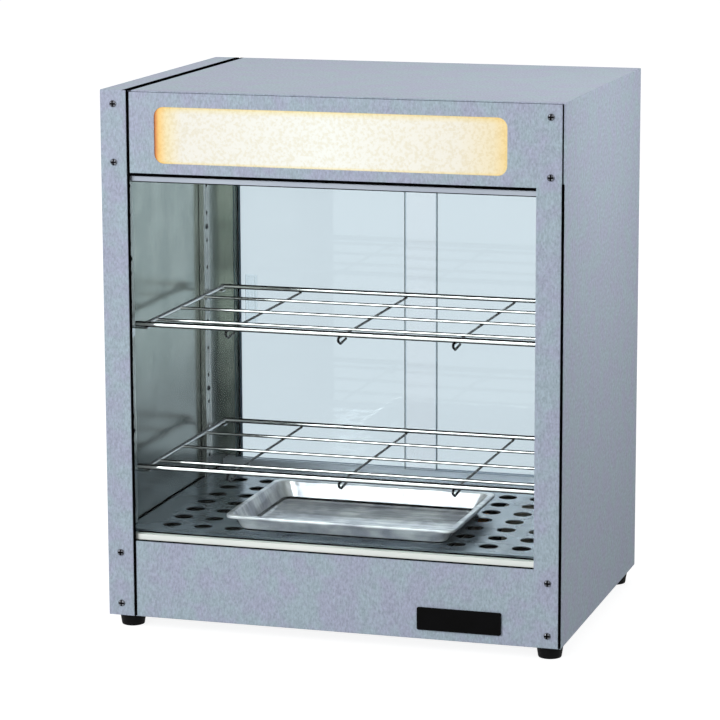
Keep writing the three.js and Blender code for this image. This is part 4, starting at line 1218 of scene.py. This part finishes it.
@dataclass
class WireShelf:
    """A welded wire shelf: thick front rod, long wires over cross wires with hooked ends."""

    front_radius: float = 3.0 * MM
    back_radius: float = 2.6 * MM
    side_radius: float = 2.4 * MM
    wire_radius: float = 1.7 * MM
    cross_radius: float = 1.35 * MM
    weld_radius: float = 1.62 * MM
    weld_sink: float = 0.5 * MM
    rod_inset: float = 10 * MM
    wire_gap: float = 35 * MM
    wire_pitch: float = 72 * MM
    cross_pitch: float = 120 * MM
    cross_overhang: float = 3 * MM
    hook_bend: float = 2.0 * MM
    hook_fold: float = math.radians(155)
    hook_leg: float = 7 * MM
    hook_return: float = math.radians(31)
    hook_reach: float = 18 * MM

    def build(self, node: str, name: str, body: Body) -> None:
        """Makes one shelf in the place of a node.

        Args:
            node: the frame's node.
            name: the piece's name.
            body: the body that it rides on.
        """
        low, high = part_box(node)
        bm = bmesh.new()
        sole = high.z - 2 * self.front_radius
        front = low.y + self.cross_overhang + self.wire_radius
        back = high.y - self.back_radius
        half = high.x
        side = half - self.rod_inset
        self._rod(bm, (-half, front, sole), (half, front, sole), self.front_radius, 24)
        self._rod(bm, (-side - self.side_radius, back, sole), (side + self.side_radius, back, sole),
                  self.back_radius, 20)
        lines = []
        y = front + self.wire_gap
        while y < back - self.wire_gap:
            lines.append(y)
            y += self.wire_pitch
        for y in lines:
            self._rod(bm, (-side, y, sole), (side, y, sole), self.wire_radius, 16)
        for x in (-side, side):
            self._rod(bm, (x, front, sole), (x, back, sole), self.side_radius, 18)
        plated = set(bm.faces)
        for x in (-self.cross_pitch, 0.0, self.cross_pitch):
            self._cross(bm, x, front, back, sole)
            for y in lines + [back]:
                bmesh.ops.create_icosphere(bm, subdivisions=2, radius=self.weld_radius,
                                           matrix=Matrix.Translation((x, y, sole)))
        # The cross wires and welds under the deck take the near black wire: painted shade
        for face in set(bm.faces) - plated:
            face.material_index = 1
        finish_piece(bm, name, [CHROME_WIRE, UNDER_DECK_SHADE_WIRE], body, [node], angle=math.radians(50))

    def _rod(self, bm: BMesh, start: Point, end: Point, radius: float, sides: int) -> None:
        """Lays a straight rod with eased ends on the cross wires.

        Args:
            bm: the bmesh that gets it.
            start: where it starts, at the height of its underside.
            end: where it ends, at the same height.
            radius: half its thickness.
            sides: facets round it.
        """
        start, end = Vector(start), Vector(end)
        length = (end - start).length
        ease = radius * 0.3
        profile = [(0, 0), (radius - ease, 0), (radius, ease), (radius, length - ease),
                   (radius - ease, length), (0, length)]
        turned(bm, profile, start + Z_AXIS * radius, end - start, sides)

    def _cross(self, bm: BMesh, x: float, front: float, back: float, sole: float) -> None:
        """Adds a cross wire whose front end folds back in a shallow hook under the front rod.

        Args:
            bm: the bmesh that gets it.
            x: where it runs.
            front: the front rod's middle.
            back: the back rod's middle.
            sole: the underside of the wires that it carries.
        """
        z = sole - self.cross_radius + self.weld_sink
        tip = front - self.cross_overhang
        wire = WireBender(bm, (x, back, z), -Y_AXIS, self.cross_radius)
        wire.run(back - tip - self.hook_bend)
        wire.bend(X_AXIS, self.hook_fold, self.hook_bend, 8)
        wire.run(self.hook_leg)
        wire.bend(X_AXIS, self.hook_return, self.hook_bend, 5)
        wire.run(self.hook_reach)
        wire.close()


@dataclass
class PressedTray:
    """A loose tray: sloped walls with round corners under a flat rim with a turned-down edge."""

    rim: float = 6 * MM
    taper: float = 9 * MM
    rim_drop: float = 3 * MM
    corner: float = 16 * MM
    sheet: float = 0.8 * MM
    bottom_bend: float = 4 * MM
    rim_bend: float = 1.1 * MM

    def build(self) -> None:
        """Makes the tray."""
        low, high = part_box("tray")
        middle = centre("tray")
        bm = bmesh.new()
        inset = self.rim + self.taper
        size = Vector((high.x - low.x - 2 * inset, high.y - low.y - 2 * inset))
        place = Matrix.Translation((middle.x, middle.y, low.z)) @ Matrix.Diagonal((size.x, size.y, 1, 1))
        made = bmesh.ops.create_grid(bm, x_segments=1, y_segments=1, size=0.5, matrix=place)
        bmesh.ops.bevel(bm, geom=made["verts"], offset=self.corner - self.rim, segments=10, profile=0.5,
                        affect="VERTICES", material=-1)
        ring = [edge for edge in bm.edges if edge.is_boundary]
        folds = [list(ring)]
        for grow, rise in ((self.taper, high.z - low.z), (self.rim, 0.0), (0.0, -self.rim_drop)):
            ring = self._draw(bm, ring, middle, grow, rise)
            folds.append(list(ring))
        bmesh.ops.recalc_face_normals(bm, faces=bm.faces)
        round_edges(bm, folds[0], self.bottom_bend, 5, True)
        round_edges(bm, [e for e in folds[1] + folds[2] if e.is_valid], self.rim_bend, 4, True)
        piece = finish_piece(bm, "pressed_loose_tray", TRAY_STEEL, Body.TRAY, ["tray"],
                             angle=math.radians(60), outward=False)
        wall = piece.modifiers.new("wall", "SOLIDIFY")
        wall.thickness = self.sheet
        wall.offset = -1.0
        piece.modifiers.move(1, 0)

    @staticmethod
    def _draw(bm: BMesh, ring: list[BMEdge], middle: Vector, grow: float, rise: float) -> list[BMEdge]:
        """Draws a ring of edges outwards and up, as the press does.

        Args:
            bm: the bmesh that it belongs to.
            ring: the edges.
            middle: the tray's middle.
            grow: how far the ring moves outwards.
            rise: how far it moves up.

        Returns:
            The new ring.
        """
        made = bmesh.ops.extrude_edge_only(bm, edges=ring)["geom"]
        verts = [item for item in made if isinstance(item, BMVert)]
        wide = max(abs(vert.co.x - middle.x) for vert in verts)
        deep = max(abs(vert.co.y - middle.y) for vert in verts)
        scale = Vector(((wide + grow) / wide, (deep + grow) / deep, 1))
        about = Matrix.Translation((-middle.x, -middle.y, 0))
        bmesh.ops.scale(bm, vec=scale, verts=verts, space=about)
        bmesh.ops.translate(bm, vec=(0, 0, rise), verts=verts)
        return edges_among(verts)


@dataclass
class RearDoors:
    """Two sliding glass doors in their tracks, each with a finger pull."""

    pull_radius: float = 0.45 * MM
    track_radius: float = 0.25 * MM

    def build(self) -> None:
        """Makes the doors and the tracks."""
        for hand, body in (("left", Body.LEFT_DOOR), ("right", Body.RIGHT_DOOR)):
            pull = f"{hand}_door_pull"
            GlassPane().build(f"rear_door_{hand}", f"{hand}_sliding_pane", DOOR_GLASS, Slot.DOOR_GLASS, body)
            eased_piece(pull, f"{pull}_polished", CLEAR_ACRYLIC, self.pull_radius, 3, body)
        for node, name in (("door_top_track", "upper_door_track"), ("door_bottom_track", "lower_door_track")):
            eased_piece(node, name, TRACK_ALUMINIUM, self.track_radius)


@dataclass
class Controls:
    """Thermostat knob, rocker switches, pilot lamp and cord gland on the rear sheet."""

    seat_gap: float = 0.3 * MM
    flutes: int = 24
    flute_depth: float = 0.35 * MM
    skirt: float = 4 * MM
    spindle_bore: float = 3.3 * MM
    pointer_rise: float = 0.8 * MM
    pointer_half: float = 1.1 * MM
    tick_count: int = 7
    tick_gap: float = 2 * MM
    tick_length: float = 3.0 * MM
    tick_width: float = 0.7 * MM
    first_tick: float = math.radians(90)
    tick_sweep: float = math.radians(270)
    figure: float = 4.5 * MM
    ink: float = 0.04 * MM
    housing_radius: float = 0.4 * MM
    rocker_radius: float = 0.3 * MM
    gland_bore: float = 4.5 * MM

    def build(self) -> None:
        """Makes the controls and dresses what lies behind the sheet."""
        self._knob()
        self._dial_marks()
        for name, body in (("power", Body.POWER_ROCKER), ("lamp", Body.LAMP_ROCKER)):
            self._switch(name, body)
        self._pilot()
        self._gland()
        for node, look in (("thermostat_body", STEATITE), ("terminal_block", STEATITE),
                           ("thermostat_shaft", BRASS), ("thermostat_bulb", BRASS)):
            dress_node(node, look)

    @staticmethod
    def _face() -> float:
        """Returns where the rear sheet's face lies along Y."""
        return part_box("rear_control_panel")[1].y

    def _knob(self) -> None:
        """Makes the fluted knob with its pale pointer."""
        low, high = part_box("thermostat_knob")
        axis = centre("thermostat_knob")
        radius, seat, crown = (high.x - low.x) / 2, low.y, high.y - self.pointer_rise
        grip, depth, skirt = radius * 0.74, crown - seat, self.skirt
        # From the spindle's bore out under the skirt, over it and up the grip to the dished crown
        profile = [(self.spindle_bore, 0), (radius - 0.4 * MM, 0), (radius, 0.4 * MM), (radius, skirt * 0.6),
                   (radius * 0.93, skirt * 0.85), (grip + 0.8 * MM, skirt), (grip, skirt + 1.5 * MM),
                   (grip * 0.97, depth - 1.4 * MM), (grip * 0.9, depth - 0.3 * MM), (grip * 0.82, depth),
                   (grip * 0.78, depth - 0.4 * MM), (0, depth - 0.4 * MM)]
        bm = bmesh.new()
        for vert in turned(bm, profile, (axis.x, seat, axis.z), Y_AXIS, self.flutes * 4):
            out = Vector((vert.co.x - axis.x, 0, vert.co.z - axis.z))
            if grip * 0.85 < out.length < grip * 1.02 and vert.co.y > seat + skirt:
                wave = math.cos(self.flutes * math.atan2(out.z, out.x))
                vert.co -= out.normalized() * self.flute_depth * (1 + wave)
        finish_piece(bm, "fluted_thermostat_knob", ABS, Body.DIAL, ["thermostat_knob"],
                     angle=math.radians(40))
        bm = bmesh.new()
        block(bm, (axis.x - self.pointer_half, crown - 0.5 * MM, axis.z + 3 * MM),
              (axis.x + self.pointer_half, high.y, axis.z + grip * 0.78), 0.25 * MM)
        finish_piece(bm, "knob_pointer_bar", PRINT, Body.DIAL)

    def _dial_marks(self) -> None:
        """Prints ticks and numbers round the knob, with OFF where it rests."""
        low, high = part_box("thermostat_knob")
        axis = centre("thermostat_knob")
        near = (high.x - low.x) / 2 + self.tick_gap
        far = near + self.tick_length
        reach = far + self.figure * 0.75
        face = self._face()
        bm = bmesh.new()
        for index in range(self.tick_count):
            angle = self.first_tick + self.tick_sweep * index / (self.tick_count - 1)
            before = set(bm.verts)
            block(bm, (near, 0, -self.tick_width / 2), (far, self.ink, self.tick_width / 2))
            turn = Matrix.Translation((axis.x, face, axis.z)) @ Matrix.Rotation(-angle, 4, "Y")
            bmesh.ops.transform(bm, matrix=turn, verts=fresh_verts(bm, before))
            place = (axis.x + reach * math.cos(angle), face + self.ink / 2, axis.z + reach * math.sin(angle))
            letter(bm, str(index) if index else "OFF", place, self.figure, self.ink)
        finish_piece(bm, "dial_ticks_and_numbers", DARK_PRINT, outward=False)

    def _switch(self, name: str, body: Body) -> None:
        """Makes a rocker switch with its ON and OFF marks.

        Args:
            name: power or lamp.
            body: the body that the rocker rides on.
        """
        housing, rocker = f"{name}_switch_housing", f"{name}_switch_rocker"
        eased_piece(housing, f"{housing}_moulded", ABS, self.housing_radius)
        low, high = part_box(housing)
        bm = bmesh.new()
        for text, z in (("ON", high.z + self.figure), ("OFF", low.z - self.figure)):
            letter(bm, text, (centre(housing).x, self._face() + self.ink / 2, z), self.figure, self.ink)
        finish_piece(bm, f"{name}_switch_marks", DARK_PRINT, outward=False)
        eased_piece(rocker, f"{rocker}_moulded", GLOSS_ABS, self.rocker_radius, 2, body)

    def _fitting(self, node: str, name: str, look: Finish, shares: Sequence[tuple[float, float]],
                 bore: float, steps: int) -> None:
        """Turns a round fitting that is pressed into the rear sheet.

        Args:
            node: the frame's node.
            name: the piece's name.
            look: its finish.
            shares: its profile outside the sheet, as shares of its radius and of its rise.
            bore: the radius of its hole, or zero.
            steps: facets round it.
        """
        low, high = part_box(node)
        axis = centre(node)
        seat = self._face() + self.seat_gap
        radius, rise, tail = (high.x - low.x) / 2, high.y - seat, low.y - seat
        profile = [(bore, rise)] + [(radius * out, rise * up) for out, up in shares]
        profile += [(profile[-1][0], tail), (bore, tail)]
        if bore:
            profile.append((bore, rise))
        bm = bmesh.new()
        turned(bm, profile, (axis.x, seat, axis.z), Y_AXIS, steps)
        finish_piece(bm, name, look, nodes=[node])

    def _pilot(self) -> None:
        """Makes the pilot lamp with its domed lens over a flat flange."""
        shares = [(0.3, 0.97), (0.5, 0.85), (0.58, 0.6), (0.62, 0.45), (0.9, 0.45), (1, 0.25), (1, 0),
                  (0.7, 0)]
        self._fitting("pilot_lamp", "pilot_lamp_lens", AMBER, shares, 0.0, 36)

    def _gland(self) -> None:
        """Makes the stepped cord gland with its open bore."""
        shares = [(0.7, 1), (0.8, 0.9), (0.84, 0.6), (0.95, 0.6), (1, 0.45), (1, 0), (0.75, 0)]
        self._fitting("cord_gland", "rubber_cord_gland", RUBBER, shares, self.gland_bore, 40)


@dataclass
class HeaterBay:
    """The heater rod, its bracket and its shield under the chamber floor."""

    def build(self) -> None:
        """Dresses the heater's parts."""
        dress_node("heater_rod", SHEATH)
        # The bracket and the shield are near black: painted shade under the floor
        for node in ("heater_bracket", "heat_shield"):
            dress_node(node, DARK_SHADE_SHEET)


@dataclass
class Feet:
    """Four moulded feet, each held by a screw in a sunk bore."""

    sink_radius: float = 5 * MM
    sink_depth: float = 5 * MM
    bore: float = 2.8 * MM
    taper: float = 2 * MM

    def build(self) -> None:
        """Makes the feet and their screws."""
        places = []
        for node in ("front_left_foot", "front_right_foot", "rear_left_foot", "rear_right_foot"):
            low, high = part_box(node)
            axis = centre(node)
            top, height = (high.x - low.x) / 2, high.z - low.z
            sole = top - self.taper
            # From the sunk hole out over the sole, up the side, in over the top and down the bore
            profile = [(self.sink_radius, 0), (sole - 1.5 * MM, 0), (sole - 0.4 * MM, 0.4 * MM),
                       (sole, 1.6 * MM), (top - 0.15 * MM, height - 1.2 * MM), (top, height - 0.6 * MM),
                       (top - 0.5 * MM, height), (self.bore, height), (self.bore, self.sink_depth),
                       (self.sink_radius, self.sink_depth), (self.sink_radius, 0)]
            bm = bmesh.new()
            turned(bm, profile, (axis.x, axis.y, 0), Z_AXIS, 48)
            finish_piece(bm, f"{node}_moulded", RUBBER, nodes=[node])
            places.append((axis.x, axis.y, self.sink_depth))
        PanScrews(head_radius=4.2 * MM, head_height=2.2 * MM).row("foot_screws", places, -Z_AXIS)


@dataclass
class Studio:
    """White floor and surround, soft lamps, and the camera at the photograph's angle."""

    camera_place: tuple[float, float, float] = (0.943, -3.17575, 0.901)
    yaw: float = math.radians(16.92)
    pitch: float = math.radians(10.92)
    roll: float = math.radians(-0.20)
    lens: float = 160.0
    ambient: float = 0.45
    floor_glow: float = 0.87
    floor_size: float = 40.0

    def build(self) -> None:
        """Sets up the floor, the world, the lamps and the camera."""
        self._world()
        self._floor()
        self._lamp("key_softbox", (-1.4, -3.0, 1.5), size=2.0, power=78)
        self._lamp("side_softbox", (1.2, -0.1, 1.0), size=0.5, power=1.0, aim=(0.24, 0.0, 0.6), spread=55)
        self._lamp("rear_softbox", (-1.0, 2.8, 1.6), size=2.0, power=7)
        self._camera()
        bpy.context.scene.view_settings.view_transform = "Standard"

    def _seen(self, tree: NodeTree) -> NodeSocket:
        """Tells the rays that show a surface from those that only light.

        Args:
            tree: the node tree that asks.

        Returns:
            One for rays that look straight, by a reflection or through glass, else zero.
        """
        rays = add_node(tree, "ShaderNodeLightPath")
        first = add_node(tree, "ShaderNodeMath", {
            "Value": rays.outputs["Is Camera Ray"], "Value_001": rays.outputs["Is Glossy Ray"],
        }, operation="MAXIMUM")
        both = add_node(tree, "ShaderNodeMath", {
            "Value": first.outputs["Value"], "Value_001": rays.outputs["Is Transmission Ray"],
        }, operation="MAXIMUM")
        return both.outputs["Value"]

    def _world(self) -> None:
        """Makes the surround white to the eye and softer as a light."""
        world = bpy.data.worlds.new("white_surround")
        bpy.context.scene.world = world
        world.use_nodes = True
        tree = world.node_tree
        tree.nodes.clear()
        strength = add_node(tree, "ShaderNodeMapRange", {
            "Value": self._seen(tree), "To Min": self.ambient, "To Max": 1.0,
        })
        sky = add_node(tree, "ShaderNodeBackground", {
            "Color": (1, 1, 1, 1), "Strength": strength.outputs["Result"],
        })
        add_node(tree, "ShaderNodeOutputWorld", {"Surface": sky.outputs["Background"]})

    def _floor(self) -> None:
        """Lays the pale floor, which keeps the object's shadow."""
        bm = bmesh.new()
        bmesh.ops.create_grid(bm, x_segments=1, y_segments=1, size=self.floor_size / 2)
        mesh = bpy.data.meshes.new("studio_floor")
        bm.to_mesh(mesh)
        bm.free()
        paper = bpy.data.materials.new("white paper sweep")
        paper.use_nodes = True
        tree = paper.node_tree
        tree.nodes.clear()
        glow = add_node(tree, "ShaderNodeMath", {"Value": self._seen(tree), "Value_001": self.floor_glow},
                        operation="MULTIPLY")
        shader = add_node(tree, "ShaderNodeBsdfPrincipled", {
            "Base Color": linear("#A0A0A0"), "Roughness": 0.9, "Specular IOR Level": 0.0,
            "Emission Color": (1, 1, 1, 1), "Emission Strength": glow.outputs["Value"],
        })
        add_node(tree, "ShaderNodeOutputMaterial", {"Surface": shader.outputs["BSDF"]})
        mesh.materials.append(paper)
        floor = bpy.data.objects.new("studio_floor", mesh)
        bpy.context.scene.collection.objects.link(floor)

    def _lamp(self, name: str, place: Point, size: float, power: float, aim: Point = (0, 0, 0.28),
              spread: float = 180) -> None:
        """Hangs a square soft lamp.

        Args:
            name: the lamp's name.
            place: where it hangs.
            size: the length of its side.
            power: its power in watts.
            aim: the place that it looks at.
            spread: the angle of its beam, in degrees.
        """
        light = bpy.data.lights.new(name, "AREA")
        light.energy = power
        light.size = size
        light.spread = math.radians(spread)
        lamp = bpy.data.objects.new(name, light)
        lamp.location = place
        ahead = Vector(aim) - Vector(place)
        lamp.rotation_euler = ahead.to_track_quat("-Z", "Y").to_euler()
        lamp.visible_camera = False
        bpy.context.scene.collection.objects.link(lamp)

    def _camera(self) -> None:
        """Sets the camera where the photograph was taken."""
        data = bpy.data.cameras.new("photo_camera")
        data.lens = self.lens
        data.sensor_width = 36.0
        data.clip_end = 100.0
        camera = bpy.data.objects.new("photo_camera", data)
        camera.location = self.camera_place
        ahead = Vector((-math.sin(self.yaw) * math.cos(self.pitch),
                        math.cos(self.yaw) * math.cos(self.pitch), -math.sin(self.pitch)))
        turn = ahead.to_track_quat("-Z", "Y") @ Quaternion(Z_AXIS, self.roll)
        camera.rotation_euler = turn.to_euler()
        bpy.context.scene.collection.objects.link(camera)
        bpy.context.scene.camera = camera


def write_sizes() -> None:
    """Brings the scene's boxes up to date."""
    bpy.context.view_layer.update()


def main() -> None:
    """Builds the studio and every sub-assembly in order."""
    logging.basicConfig(level=logging.INFO, format="%(name)s %(message)s")
    Studio().build()
    Casing().build()
    Chamber().build()
    FrontGlazing().build()
    SignBox().build()
    WireShelf().build("lower_shelf", "lower_wire_shelf", Body.LOWER_RACK)
    WireShelf().build("upper_shelf", "upper_wire_shelf", Body.UPPER_RACK)
    PressedTray().build()
    RearDoors().build()
    Controls().build()
    HeaterBay().build()
    Feet().build()
    write_sizes()


if __name__ == "__main__":
    main()
